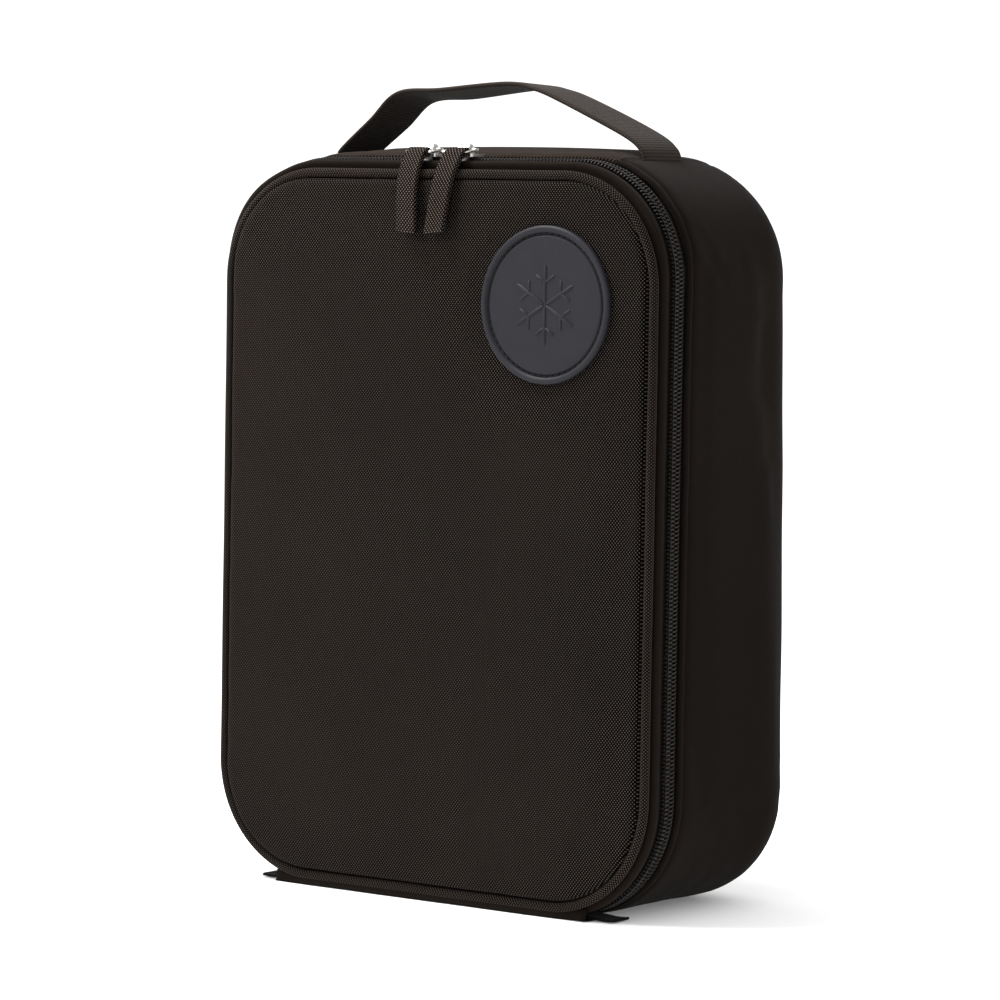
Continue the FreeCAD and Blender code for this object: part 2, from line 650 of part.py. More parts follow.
def build_front_panel():
    body = new_body("front_panel", cell("panel_front"))
    sketch = new_sketch(body, "panel_outline")
    draw_outline(sketch, PANEL, "outer")
    pad = pad_back(body, sketch, cell("fabric"), "panel_sheet")
    round_edges(body, pad, 0, f"{cell('fabric')} * 0.8", "panel_rounding")
    return body


def build_lid_foam():
    body = new_body("lid_foam", f"{cell('panel_front')} + {cell('fabric')}")
    sketch = new_sketch(body, "foam_outline")
    draw_outline(sketch, inset(PANEL, cell("foam_margin")), "outer")
    pad_back(body, sketch, cell("panel_foam"), "foam_sheet")
    return body


def build_lid_liner():
    """The lid's lining: a flat sheet behind the foam with a low wall just inside the zip tape."""
    front = f"{cell('panel_front')} + {cell('fabric')} + {cell('panel_foam')}"
    body = new_body("lid_liner", front)
    edge = inset(CHAIN, f"{cell('tape_thick')} + {cell('wall_gap')}")
    sketch = new_sketch(body, "sheet_outline")
    draw_outline(sketch, edge, "outer")
    pad_back(body, sketch, cell("lining"), "lining_sheet")
    pad_ring(body, edge, inset(edge, cell("lining")), cell("lid_wall"), "lining_wall")
    return body


def build_lid_binding():
    """Binding tape over the seam round the inside of the lid."""
    front = f"{cell('panel_front')} + {cell('fabric')} + {cell('panel_foam')} + {cell('lining')}"
    body = new_body("lid_binding", front)
    outer = inset(CHAIN, f"{cell('tape_thick')} + {cell('wall_gap')} + {cell('lining')}")
    pad_ring(body, outer, inset(outer, cell("binding_width")), cell("binding_thick"), "binding_tape")
    return body


def build_piping(label, folded):
    """The strip that is folded round the piping's cord, or the cord itself, along its outline."""
    body = new_body(label, cell("piping_y"))
    spine = new_sketch(body, "route")
    draw_outline(spine, PIPING, "route")
    section = new_sketch(body, "section", "YZ_Plane")
    if folded:
        draw_folded_strip(section, cell("piping_low"), cell("piping_round"), cell("piping_core"),
                          cell("piping_slot"))
    else:
        draw_circle(section, "0.0001", cell("piping_low"), cell("piping_core"), "cord")
    doc.recompute()
    pipe = body.newObject("PartDesign::AdditivePipe", "sweep")
    pipe.Profile = section
    pipe.Spine = (spine, [f"Edge{index}" for index in range(1, 9)])
    doc.recompute()
    return body


def build_pocket():
    """A flat mesh pocket inside the lid, with an elastic along its top."""
    lining_back = f"{cell('panel_front')} + {cell('fabric')} + {cell('panel_foam')} + {cell('lining')}"
    front = f"{lining_back} + {cell('pocket_gap')}"
    mesh = new_body("mesh_pocket", front)
    sketch = new_sketch(mesh, "mesh_outline")
    draw_box(sketch, f"{cell('pocket_width')} / 2", cell("pocket_low"), cell("pocket_high"), "mesh")
    pad = pad_back(mesh, sketch, cell("mesh_thick"), "mesh_sheet")
    fillet = mesh.newObject("PartDesign::Fillet", "lower_corners")
    names = []
    for index, edge in enumerate(pad.Shape.Edges, start=1):
        box = edge.BoundBox
        if box.XLength < 1e-6 and box.ZLength < 1e-6 and box.ZMin < size("pocket_low") + 1:
            names.append(f"Edge{index}")
    fillet.Base = (pad, names)
    bind(fillet, "Radius", cell("pocket_corner"))
    elastic = new_body("mesh_pocket_elastic", f"{front} + {cell('mesh_thick')}")
    sketch = new_sketch(elastic, "elastic_outline")
    draw_box(sketch, f"{cell('pocket_width')} / 2", f"{cell('pocket_high')} - {cell('elastic_high')}",
             cell("pocket_high"), "elastic")
    pad_back(elastic, sketch, cell("elastic_thick"), "elastic_strip")
    return [mesh, elastic]


def snowflake():
    """A flat six-armed snowflake, centred on the origin and standing out towards -Y."""
    high = size("badge_mark")
    arms = []
    for turn in range(0, 360, 60):
        width = size("arm_width")
        bars = [Part.makeBox(width, high, size("arm_length"), Vector(-width / 2, -high, 0))]
        for lean in (-60, 60):
            width = size("twig_width")
            twig = Part.makeBox(width, high, size("twig_length"), Vector(-width / 2, -high, 0))
            twig.rotate(Vector(0, 0, 0), Vector(0, 1, 0), lean)
            twig.translate(Vector(0, 0, size("twig_at")))
            bars.append(twig)
        arm = bars[0].fuse(bars[1:])
        arm.rotate(Vector(0, 0, 0), Vector(0, 1, 0), turn)
        arms.append(arm)
    return arms[0].fuse(arms[1:]).removeSplitter()


def build_badge():
    """A round badge with a raised rim and a snowflake."""
    front = f"{cell('panel_front')} - {cell('badge_thick')}"
    middle = (cell("badge_x"), cell("badge_z"))
    body = new_body("badge_disc", front)
    disc = new_sketch(body, "disc")
    draw_circle(disc, *middle, cell("badge_round"), "disc")
    pad_back(body, disc, cell("badge_thick"), "disc_pad")
    rim = new_sketch(body, "rim")
    draw_circle(rim, *middle, cell("badge_round"), "outer")
    draw_circle(rim, *middle, f"{cell('badge_round')} - {cell('badge_rim_width')}", "inner")
    rim_pad = body.newObject("PartDesign::Pad", "rim_pad")
    rim_pad.Profile = rim
    bind(rim_pad, "Length", cell("badge_rim"))
    doc.recompute()
    mark = doc.addObject("Part::Feature", "badge_mark")
    mark.Shape = snowflake()
    mark.Placement.Base = Vector(size("badge_x"), size("panel_front") - size("badge_thick"), size("badge_z"))
    return boolean("Fuse", "badge_patch", body, mark)


nodes = []
nodes += build_gusset()
nodes.append(build_back_panel())
nodes.append(build_body_foam())
nodes.append(build_back_foam())
nodes.append(build_body_liner())
nodes.append(build_liner_binding())
zip_halves = build_zip()
nodes += zip_halves["body"]
nodes.append(build_hinge_strip())
nodes.append(build_end_tab("left"))
nodes.append(build_end_tab("right"))
nodes.append(build_handle())
nodes.append(build_front_panel())
nodes.append(build_piping("front_piping", folded=True))
nodes.append(build_piping("piping_cord", folded=False))
lid_ring = band_ring("lid_band", cell("band_front"), cell("band_back"))
open_bottom(lid_ring, "band_ends")
nodes.append(lid_ring)
nodes += zip_halves["lid"]
nodes.append(build_lid_foam())
nodes.append(build_lid_liner())
nodes.append(build_lid_binding())
nodes += build_pocket()
nodes.append(build_badge())
for side in ("left", "right"):
    nodes.append(build_slider(side))
    nodes.append(build_bail(side))
    nodes.append(build_pull(side))

doc.recompute()
for item in doc.Objects:
    assert "Invalid" not in item.State and "Error" not in item.State, f"{item.Label}: {item.State}"
os.makedirs("parts", exist_ok=True)
for node in nodes:
    assert not node.Shape.isNull(), f"{node.Label} is empty"
    assert node.Shape.isValid(), f"{node.Label} isn't valid"
    assert node.Shape.Solids, f"{node.Label} holds no solid"
    node.Shape.exportStep(f"parts/{node.Label}.step")
    box = node.Shape.BoundBox
    print(f"{node.Label:22s} {node.Shape.Volume / 1000:9.2f} cm3  X {box.XMin:.1f} {box.XMax:.1f}  "
          f"Y {box.YMin:.1f} {box.YMax:.1f}  Z {box.ZMin:.1f} {box.ZMax:.1f}")
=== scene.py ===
import json
import math

import bpy
import numpy as np
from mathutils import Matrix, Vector


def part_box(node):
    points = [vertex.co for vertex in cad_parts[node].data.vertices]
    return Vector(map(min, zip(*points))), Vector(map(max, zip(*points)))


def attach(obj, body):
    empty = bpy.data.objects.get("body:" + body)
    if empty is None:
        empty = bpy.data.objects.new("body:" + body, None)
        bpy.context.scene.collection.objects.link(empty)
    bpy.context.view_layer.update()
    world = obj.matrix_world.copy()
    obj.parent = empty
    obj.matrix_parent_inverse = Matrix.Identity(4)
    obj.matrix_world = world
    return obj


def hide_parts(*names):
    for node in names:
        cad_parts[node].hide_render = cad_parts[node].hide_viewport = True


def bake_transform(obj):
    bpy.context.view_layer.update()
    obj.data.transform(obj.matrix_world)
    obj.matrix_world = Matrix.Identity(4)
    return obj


# The looks of an insulated cooler bag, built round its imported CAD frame. Lengths are in metres and
# the frame is the CAD's: +X to the right along the front, +Y to the back, +Z up, floor at z = 0.

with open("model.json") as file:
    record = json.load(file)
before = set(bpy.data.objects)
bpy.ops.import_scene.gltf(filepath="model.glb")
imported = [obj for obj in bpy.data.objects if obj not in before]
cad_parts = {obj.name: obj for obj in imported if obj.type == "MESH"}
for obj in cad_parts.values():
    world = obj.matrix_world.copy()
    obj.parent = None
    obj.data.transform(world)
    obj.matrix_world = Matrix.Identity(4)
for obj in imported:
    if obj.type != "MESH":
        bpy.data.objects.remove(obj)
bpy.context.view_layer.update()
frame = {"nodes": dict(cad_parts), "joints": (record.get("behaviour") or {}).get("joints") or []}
MM = 0.001


def low(node):
    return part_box(node)[0]


def high(node):
    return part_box(node)[1]


# Driving dimensions that a box doesn't give.
FABRIC = 1.0 * MM
FOAM = 4.5 * MM
LINING = 0.6 * MM
WALL = FABRIC + FOAM + LINING
PIPING_ROUND = 1.75 * MM
COIL_HIGH = 2.2 * MM
COIL_WIDTH = 2.5 * MM
COIL_PITCH = 1.55 * MM
TAPE_THICK = 0.6 * MM
ZIP_END = 72 * MM
HANDLE_HALF = 73 * MM
UPPER_PART = 200 * MM
# The body's back corner: where it starts, its radius, and the turn at which the back is sewn on.
BACK_START = 26 * MM
BACK_ROUND = 23.9 * MM
BACK_TURN = math.radians(52)
SEAM = BACK_START + BACK_ROUND * BACK_TURN
FLAT_START = BACK_START + BACK_ROUND * math.pi / 2
FLAT_REACH = 80 * MM
# The zip's loose left run: how far it stands out, and the depth over which that begins.
LEFT_SWELL = 4 * MM
SLACK_FRONT = -52 * MM
SLACK_DEPTH = 10 * MM

RIM_FRONT = low("side_gusset").y
BACK_FACE = high("back_panel").y
PANEL_FRONT = low("front_panel").y
CHAIN_Y = (high("lid_zip_tape").y + low("body_zip_tape").y) / 2
PIPING_Y = low("front_piping").y + PIPING_ROUND - 0.2 * MM
LID_BACK = low("lid_liner").y

# ---- outlines and grids


def ease(share):
    """0 below 0, 1 above 1 and smooth between."""
    share = np.clip(share, 0, 1)
    return share * share * (3 - 2 * share)


def distances(line):
    """Distances along a line of points."""
    steps = np.linalg.norm(np.diff(np.array(line), axis=0), axis=1)
    return np.concatenate([[0], np.cumsum(steps)])


def read_line(at, known, values):
    """Rows of values at some distances, from those at the known ones."""
    return np.stack([np.interp(at, known, values[:, k]) for k in range(3)], 1)


def in_mm(points, first=0.0, second=0.0):
    """Pairs given in millimetres from a place, in metres."""
    return [(first + a * MM, second + b * MM) for a, b in points]


class Path:
    """Points along an upright rounded rectangle, symmetric about X = 0, anticlockwise seen from the
    front, from the middle of its bottom edge: places, outward directions and distances."""

    def __init__(self, width, bottom, top, top_round, low_round, step):
        half = width / 2
        corners = [
            (half - low_round, bottom + low_round, low_round, -90),
            (half - top_round, top - top_round, top_round, 0),
            (top_round - half, top - top_round, top_round, 90),
            (low_round - half, bottom + low_round, low_round, 180),
        ]
        points, normals = [], []
        here = np.array([0.0, bottom])
        for x, z, radius, start in corners + [(0, bottom, 0, 270)]:
            turn = math.radians(start)
            ahead = np.array([x + radius * math.cos(turn), z + radius * math.sin(turn)])
            count = max(1, round(np.linalg.norm(ahead - here) / step))
            for k in range(count):
                points.append(here + (ahead - here) * k / count)
                normals.append((math.cos(turn), math.sin(turn)))
            here = ahead
            if radius:
                count = max(4, round(radius * math.pi / 2 / step))
                for k in range(count):
                    angle = turn + math.pi / 2 * k / count
                    points.append((x + radius * math.cos(angle), z + radius * math.sin(angle)))
                    normals.append((math.cos(angle), math.sin(angle)))
                angle = turn + math.pi / 2
                here = np.array([x + radius * math.cos(angle), z + radius * math.sin(angle)])
        points, normals = np.array(points), np.array(normals)
        self.x, self.z = points.T
        self.nx, self.nz = normals.T
        gaps = np.linalg.norm(np.roll(points, -1, 0) - points, axis=1)
        self.length = gaps.sum()
        self.s = np.concatenate([[0], np.cumsum(gaps)[:-1]])
        self.closed = True
        self.centre_low = bottom + half
        self.centre_high = top - half

    def normals(self):
        return np.stack([self.nx, 0 * self.nx, self.nz], 1)

    def keep(self, mask):
        """The same path without the points that the mask leaves out."""
        for name in ("x", "z", "nx", "nz", "s"):
            setattr(self, name, getattr(self, name)[mask])
        self.closed = bool(mask.all())
        return self

    def at(self, outward, y):
        """The path moved outwards, at a depth; both may differ along it."""
        outward = outward + LEFT_SWELL * self.slack() * ease((y - SLACK_FRONT) / SLACK_DEPTH)
        return np.stack([self.x + self.nx * outward, y + 0 * self.x, self.z + self.nz * outward], 1)

    def slack(self):
        """1 down the bag's left side, where the zip's line stands out more, and 0 on the right."""
        return ease((-self.x - 76 * MM) / (24 * MM)) * ease((self.z - 4 * MM) / (40 * MM))

    def lengths(self):
        """Distances along the path, with the whole length added where it is closed."""
        return np.append(self.s, self.length) if self.closed else self.s


def body_path(step):
    width = high("side_gusset").x - low("side_gusset").x
    return Path(width, low("back_panel").z, high("back_panel").z, 45 * MM, 46 * MM, step)


def chain_path(step):
    width = high("body_zip_tape").x - low("body_zip_tape").x
    return Path(width, 2.4 * MM, high("body_zip_tape").z, 43 * MM, 44 * MM, step)


def band_path(step):
    width = high("lid_band").x - low("lid_band").x
    return Path(width, 0.7 * MM, high("lid_band").z, 44 * MM, 45.3 * MM, step)


def panel_path(step):
    width = high("front_panel").x - low("front_panel").x
    rise = 1.6 * MM
    return Path(width, low("front_panel").z + rise, high("front_panel").z, 36 * MM, 39 * MM, step)


def piping_path(step):
    box_low, box_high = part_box("front_piping")
    width = box_high.x - box_low.x - 2 * PIPING_ROUND
    rise = 1.2 * MM
    bottom, top = box_low.z + PIPING_ROUND + rise, box_high.z - PIPING_ROUND
    return Path(width, bottom, top, 41.9 * MM, 43.3 * MM, step)


def without_bottom(path):
    """The path without the stretch along the bottom where the zip doesn't run."""
    return path.keep(~((np.abs(path.x) < ZIP_END) & (path.z < 20 * MM)))


def new_object(name, verts, faces, smooth, material=None, flat=()):
    """An object from points and faces. flat holds, for each corner of each face, its place on the
    cloth before it was sewn, in metres."""
    mesh = bpy.data.meshes.new(name)
    mesh.from_pydata(verts, [], faces)
    mesh.polygons.foreach_set("use_smooth", smooth)
    if len(flat):
        layer = mesh.uv_layers.new(name="flat")
        layer.data.foreach_set("uv", np.array(flat, np.float32).ravel())
    if material:
        mesh.materials.append(material)
    obj = bpy.data.objects.new(name, mesh)
    bpy.context.scene.collection.objects.link(obj)
    return obj


def grid(name, points, flat, closed, material, flip=False, capped=False):
    """A surface from rows of points, whose first and last rows may be capped. flat holds each point's
    place on the flat cloth, with one more column than the points where the rows are closed."""
    rows, columns = points.shape[:2]
    spans = columns if closed else columns - 1
    r, c = np.meshgrid(np.arange(rows - 1), np.arange(spans), indexing="ij")
    ends = [(r, c), (r, c + 1), (r + 1, c + 1), (r + 1, c)]
    if flip:
        ends = ends[::-1]
    faces = np.stack([a * columns + b % columns for a, b in ends], -1).reshape(-1, 4).tolist()
    corners = np.stack([flat[a, b] for a, b in ends], 2).reshape(-1, 2)
    smooth = [True] * len(faces)
    if capped:
        last = (rows - 1) * columns
        faces += [list(range(columns))[::-1], list(range(last, last + columns))]
        corners = np.concatenate([corners, np.zeros((2 * columns, 2))])
        smooth += [False, False]
    return new_object(name, points.reshape(-1, 3).tolist(), faces, smooth, material, corners)


def fit(piece, body, slot, *nodes):
    """Puts a piece in the place of CAD nodes, on the body that carries it."""
    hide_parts(*nodes)
    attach(piece, body)


def places(along, across):
    """Places on the flat cloth of a grid whose columns lie along it and whose rows lie across it."""
    return np.stack(np.meshgrid(along, across), -1)


def thicken(obj, thickness, offset):
    modifier = obj.modifiers.new("thickness", "SOLIDIFY")
    modifier.thickness = thickness
    modifier.offset = offset


def sweep(name, path, profile, material, flip=False, wobble=0.0):
    """A strip whose section is a profile of (outward, y) points, swept along a path."""
    sway = wobble * np.sin(path.s / (37 * MM)) + wobble * np.sin(path.s / (11 * MM) + 1)
    points = np.stack([path.at(n + sway, y) for n, y in profile])
    flat = places(path.lengths(), distances(profile))
    return grid(name, points, flat, path.closed, material, flip)


def arc_points(n, y, radius, start, end, count):
    """Profile points on an arc; angle 0 points outwards and 90 towards the back."""
    angles = np.radians(np.linspace(start, end, count))
    return [(n + radius * math.cos(a), y + radius * math.sin(a)) for a in angles]


def smooth_line(points, count):
    """A smooth line through points, evenly spaced."""
    p = np.array(points, float)
    p = np.vstack([2 * p[0] - p[1], p, 2 * p[-1] - p[-2]])
    fine = []
    for a, b, c, d in zip(p, p[1:], p[2:], p[3:]):
        for t in np.linspace(0, 1, 24, endpoint=False):
            fine.append(0.5 * (2 * b + (c - a) * t + (2 * a - 5 * b + 4 * c - d) * t * t
                               + (3 * b - a - 3 * c + d) * t ** 3))
    fine = np.array(fine + [p[-2]])
    along = distances(fine)
    return read_line(np.linspace(0, along[-1], count), along, fine)


def unit(vectors):
    return vectors / np.maximum(np.linalg.norm(vectors, axis=-1, keepdims=True), 1e-12)


def strap(name, centre, sideways, width, thick, material, selvedge=0.0):
    """A woven strap that follows a line. sideways is its width direction at each point."""
    side = unit(np.array(sideways))
    along = unit(np.gradient(centre, axis=0))
    up = unit(np.cross(side, along))
    half = np.array([0.2, 0.45, 0.7, 0.86, 0.93, 0.975, 1])
    a = np.concatenate([-half[::-1], [0], half])
    edge = np.sqrt(np.clip(1 - np.abs(a) ** 14, 0, 1))
    lift = thick / 2 * edge + selvedge * np.exp(-((np.abs(a) - 0.94) / 0.05) ** 2)
    ring_a = np.concatenate([a, a[-2:0:-1]])
    ring_b = np.concatenate([lift, -lift[-2:0:-1]])
    points = (centre[:, None] + side[:, None] * (ring_a * width / 2)[None, :, None]
              + up[:, None] * ring_b[None, :, None])
    ring = np.stack([ring_a * width / 2, ring_b], 1)
    round_it = np.append(0, np.cumsum(np.linalg.norm(np.roll(ring, -1, 0) - ring, axis=1)))
    flat = places(round_it, distances(centre))
    return grid(name, points, flat, True, material, flip=True, capped=True)


def joined(name, pieces):
    """One object from several."""
    bpy.ops.object.select_all(action="DESELECT")
    for piece in pieces:
        piece.select_set(True)
    bpy.context.view_layer.objects.active = pieces[0]
    bpy.ops.object.join()
    pieces[0].name = name
    pieces[0].data.name = name
    return pieces[0]


def tube(name, line, radius, material, sides):
    """A round tube along a line of points."""
    along = unit(np.gradient(line, axis=0))
    first = np.where(np.abs(along[:, 1:2]) < 0.9, [[0, 1, 0]], [[1, 0, 0]])
    a = unit(np.cross(along, first))
    b = np.cross(along, a)
    turns = np.linspace(0, 2 * math.pi, sides, endpoint=False)
    points = line[:, None] + radius * (a[:, None] * np.cos(turns)[None, :, None]
                                       + b[:, None] * np.sin(turns)[None, :, None])
    flat = places(np.append(turns, 2 * math.pi) * radius, distances(points[:, 0]))
    return grid(name, points, flat, True, material, flip=True, capped=True)


def stitches(name, line, outward, pitch, length, radius, material, tilt=0.0):
    """A row of thread dashes along a line, each sunk a little at both ends."""
    s = distances(line)
    along = unit(np.gradient(line, axis=0))
    t = np.array([-1, -0.8, -0.35, 0.35, 0.8, 1])
    swell = np.array([0.25, 0.8, 1, 1, 0.8, 0.25])
    sides = 6
    turns = np.linspace(0, 2 * math.pi, sides, endpoint=False)
    verts, faces = [], []
    for middle in np.arange(pitch / 2, s[-1] - pitch / 4, pitch):
        place, forward, out = (read_line([middle], s, values)[0] for values in (line, along, outward))
        forward, out = unit(forward), unit(out)
        forward = unit(forward + tilt * np.cross(forward, out))
        side = np.cross(forward, out)
        first = len(verts)
        last = first + sides * (len(t) - 1)
        for a, b in zip(t, swell):
            centre = place + forward * (a * length / 2) + out * radius * (0.35 * (1 - a * a) - 0.1)
            for turn in turns:
                spoke = side * math.cos(turn) + out * 0.8 * math.sin(turn)
                verts.append(tuple(centre + radius * b * spoke))
        for row in range(first, last, sides):
            for k in range(sides):
                n = (k + 1) % sides
                faces.append((row + k, row + n, row + sides + n, row + sides + k))
        faces.append(tuple(range(first, first + sides))[::-1])
        faces.append(tuple(range(last, last + sides)))
    return new_object(name, verts, faces, [True] * len(faces), material)


# ---- materials


class Shader:
    """Builds one material's nodes; each method adds a node and returns its output."""

    def __init__(self, name):
        self.material = bpy.data.materials.new(name)
        self.material.use_nodes = True
        self.tree = self.material.node_tree
        self.tree.nodes.clear()
        self.surface = self.tree.nodes.new("ShaderNodeBsdfPrincipled")
        output = self.tree.nodes.new("ShaderNodeOutputMaterial")
        self.tree.links.new(self.surface.outputs[0], output.inputs["Surface"])

    def node(self, kind, values, **settings):
        node = self.tree.nodes.new(kind)
        for key, value in settings.items():
            setattr(node, key, value)
        for key, value in values.items():
            self.plug(node.inputs[key], value)
        return node

    def plug(self, socket, value):
        if isinstance(value, bpy.types.NodeSocket):
            self.tree.links.new(value, socket)
        else:
            socket.default_value = value

    def math(self, operation, *values):
        return self.node("ShaderNodeMath", dict(enumerate(values)), operation=operation).outputs[0]

    def flat(self):
        """The place on the flat cloth, in metres: (along, across)."""
        place = self.node("ShaderNodeUVMap", {}, uv_map="flat").outputs["UV"]
        parts = self.node("ShaderNodeSeparateXYZ", {"Vector": place})
        return parts.outputs["X"], parts.outputs["Y"]

    def place(self):
        """The place in the frame, in metres, before any pose."""
        return self.node("ShaderNodeTexCoord", {}).outputs["Object"]

    def noise(self, scale, detail=3.0, rough=0.55):
        values = {"Vector": self.place(), "Scale": scale, "Detail": detail, "Roughness": rough}
        return self.node("ShaderNodeTexNoise", values).outputs["Fac"]

    def remap(self, value, from_low, from_high, to_low, to_high):
        values = dict(enumerate((value, from_low, from_high, to_low, to_high)))
        return self.node("ShaderNodeMapRange", values).outputs[0]

    def blend(self, factor, first, second, mode="MIX"):
        node = self.node("ShaderNodeMix", {}, data_type="RGBA", blend_type=mode)
        for socket, value in ((0, factor), (6, first), (7, second)):
            self.plug(node.inputs[socket], value)
        return node.outputs[2]

    def wave(self, value, repeat):
        """A sine of a length, in metres, that repeats each repeat metres."""
        return self.math("SINE", self.math("MULTIPLY_ADD", value, 2 * math.pi / repeat, 0.0))

    def bump(self, height, distance, strength=1.0, normal=None):
        values = {"Height": height, "Distance": distance, "Strength": strength}
        if normal is not None:
            values["Normal"] = normal
        return self.node("ShaderNodeBump", values).outputs[0]

    def finish(self, colour, rough, normal=None, **constants):
        """Links what varies to the surface, and sets what doesn't on the surface's own sockets."""
        self.plug(self.surface.inputs["Base Color"], colour)
        self.plug(self.surface.inputs["Roughness"], rough)
        if normal is not None:
            self.plug(self.surface.inputs["Normal"], normal)
        for key, value in constants.items():
            self.surface.inputs[key.replace("_", " ")].default_value = value
        return self.material


def rgb(red, green, blue):
    return (red, green, blue, 1.0)


def shade(colour, factor):
    return rgb(*(channel * factor for channel in colour[:3]))


def plain_weave(s, u, v, pitch_u, pitch_v):
    """From -1 to 1: above 0 where a warp yarn lies on top, below 0 where a weft yarn does."""
    wave_u = s.wave(u, 2 * pitch_u)
    wave_v = s.wave(v, 2 * pitch_v)
    return s.math("MULTIPLY", wave_u, wave_v)


def wear(s, colour, amount=0.12):
    """Uneven dye and handling over a hand's breadth, and lint over a few millimetres."""
    broad = s.remap(s.noise(14, 3), 0.3, 0.7, 1 - amount, 1 + amount)
    fine = s.remap(s.noise(420, 2), 0.3, 0.7, 1 - amount / 2, 1 + amount / 2)
    both = s.math("MULTIPLY", broad, fine)
    grey = s.node("ShaderNodeCombineColor", {0: both, 1: both, 2: both}).outputs[0]
    return s.blend(1.0, colour, grey, "MULTIPLY")


def cloth(name, colour, pitch_u, pitch_v, contrast, depth, twill=False):
    """A woven fabric: painted highlights on the crowns of the yarns that lie on top and painted shade
    between the yarns, with a bump of the yarns' height.
    """
    s = Shader(name)
    u, v = s.flat()
    drift = s.remap(s.noise(60, 2), 0.0, 1.0, -0.3 * pitch_u, 0.3 * pitch_u)
    u = s.math("ADD", u, drift)
    if twill:
        slant = s.math("MULTIPLY_ADD", v, pitch_u / pitch_v, u)
        pattern = s.wave(slant, 2 * pitch_u)
    else:
        pattern = plain_weave(s, u, v, pitch_u, pitch_v)
    on_top = s.remap(pattern, 0.3, 0.8, 0.0, 1.0)
    # Painted highlight on the yarn crowns, up to 1 + 7 × contrast, and painted shade between the yarns,
    # down to 1 - contrast.
    base = s.blend(on_top, shade(colour, 1 - contrast), shade(colour, 1 + 7 * contrast))
    normal = s.bump(on_top, depth)
    roughness = s.remap(on_top, 0, 1, 0.98, 0.86)
    return s.finish(wear(s, base), roughness, normal, Sheen_Weight=0.02, Sheen_Roughness=0.45,
                    Specular_IOR_Level=0.03)


def ribbed(name, colour, rib, contrast, depth):
    """Woven tape or webbing: ribs across its length, each broken up by the warp."""
    s = Shader(name)
    u, v = s.flat()
    ribs = s.wave(v, rib)
    warp = s.wave(u, rib * 0.9)
    stagger = s.math("MULTIPLY", ribs, warp)
    height = s.math("MULTIPLY_ADD", stagger, 0.5, s.math("MULTIPLY", ribs, 0.5))
    on_top = s.remap(height, -0.6, 0.6, 0.0, 1.0)
    base = s.blend(on_top, shade(colour, 1 - contrast), shade(colour, 1 + contrast))
    fuzz = s.noise(2600, 2)
    normal = s.bump(fuzz, 0.05 * MM, 1.0, s.bump(height, depth))
    return s.finish(wear(s, base), s.remap(on_top, 0, 1, 0.9, 0.78), normal, Sheen_Weight=0.03,
                    Sheen_Roughness=0.4, Specular_IOR_Level=0.06)


def moulded(name, colour, rough, grain, depth):
    """Soft moulded rubber: a fine satin grain and slight scuffing."""
    s = Shader(name)
    fine = s.noise(grain, 4)
    scuffs = s.noise(90, 5, 0.7)
    base = s.blend(s.remap(scuffs, 0.35, 0.75, 0.0, 1.0), shade(colour, 0.93), shade(colour, 1.1))
    return s.finish(base, s.remap(scuffs, 0.3, 0.7, rough - 0.05, rough + 0.07), s.bump(fine, depth),
                    Specular_IOR_Level=0.12)


def plated(name):
    """Bright nickel plate with faint casting texture and a tint that varies in patches."""
    s = Shader(name)
    cast = s.noise(900, 4)
    tint = s.blend(s.remap(s.noise(260, 3), 0.3, 0.7, 0, 1), rgb(0.52, 0.5, 0.47), rgb(0.72, 0.71, 0.69))
    return s.finish(tint, s.remap(cast, 0.3, 0.7, 0.2, 0.36), s.bump(cast, 0.04 * MM), Metallic=1.0)


def film(name, colour):
    """Wipe-clean lining: a soft film with a pebbled emboss and creases."""
    s = Shader(name)
    pebbles = s.node("ShaderNodeTexVoronoi", {"Vector": s.place(), "Scale": 900.0},
                     feature="SMOOTH_F1").outputs["Distance"]
    creases = s.noise(38, 5, 0.65)
    # Painted shade in the creases' hollows and painted light on their ridges, from the same noise as their
    # bump.
    base = s.blend(s.remap(creases, 0.3, 0.7, 0, 1), shade(colour, 0.86), shade(colour, 1.06))
    normal = s.bump(pebbles, 0.08 * MM, 0.7, s.bump(creases, 1.6 * MM, 0.6))
    return s.finish(wear(s, base, 0.05), s.remap(creases, 0.3, 0.7, 0.34, 0.5), normal,
                    Specular_IOR_Level=0.45)


def nylon(name, colour):
    """Moulded nylon with a faint rib, for the coil and thread."""
    s = Shader(name)
    fine = s.noise(1500, 3)
    base = s.blend(fine, shade(colour, 0.8), shade(colour, 1.25))
    return s.finish(base, s.remap(fine, 0.3, 0.7, 0.3, 0.42), s.bump(fine, 0.03 * MM),
                    Specular_IOR_Level=0.15)


def painted_floor():
    """A pale floor that glows faintly, like a light table."""
    s = Shader("studio_floor")
    mottle = s.noise(3, 4)
    return s.finish(s.blend(mottle, rgb(0.955, 0.955, 0.955), rgb(0.965, 0.965, 0.965)),
                    s.remap(mottle, 0, 1, 0.8, 0.9), Emission_Color=rgb(1, 1, 1), Emission_Strength=0.12)


BLACK = rgb(0.0092, 0.0070, 0.0057)
FINE = rgb(0.0056, 0.0039, 0.0029)
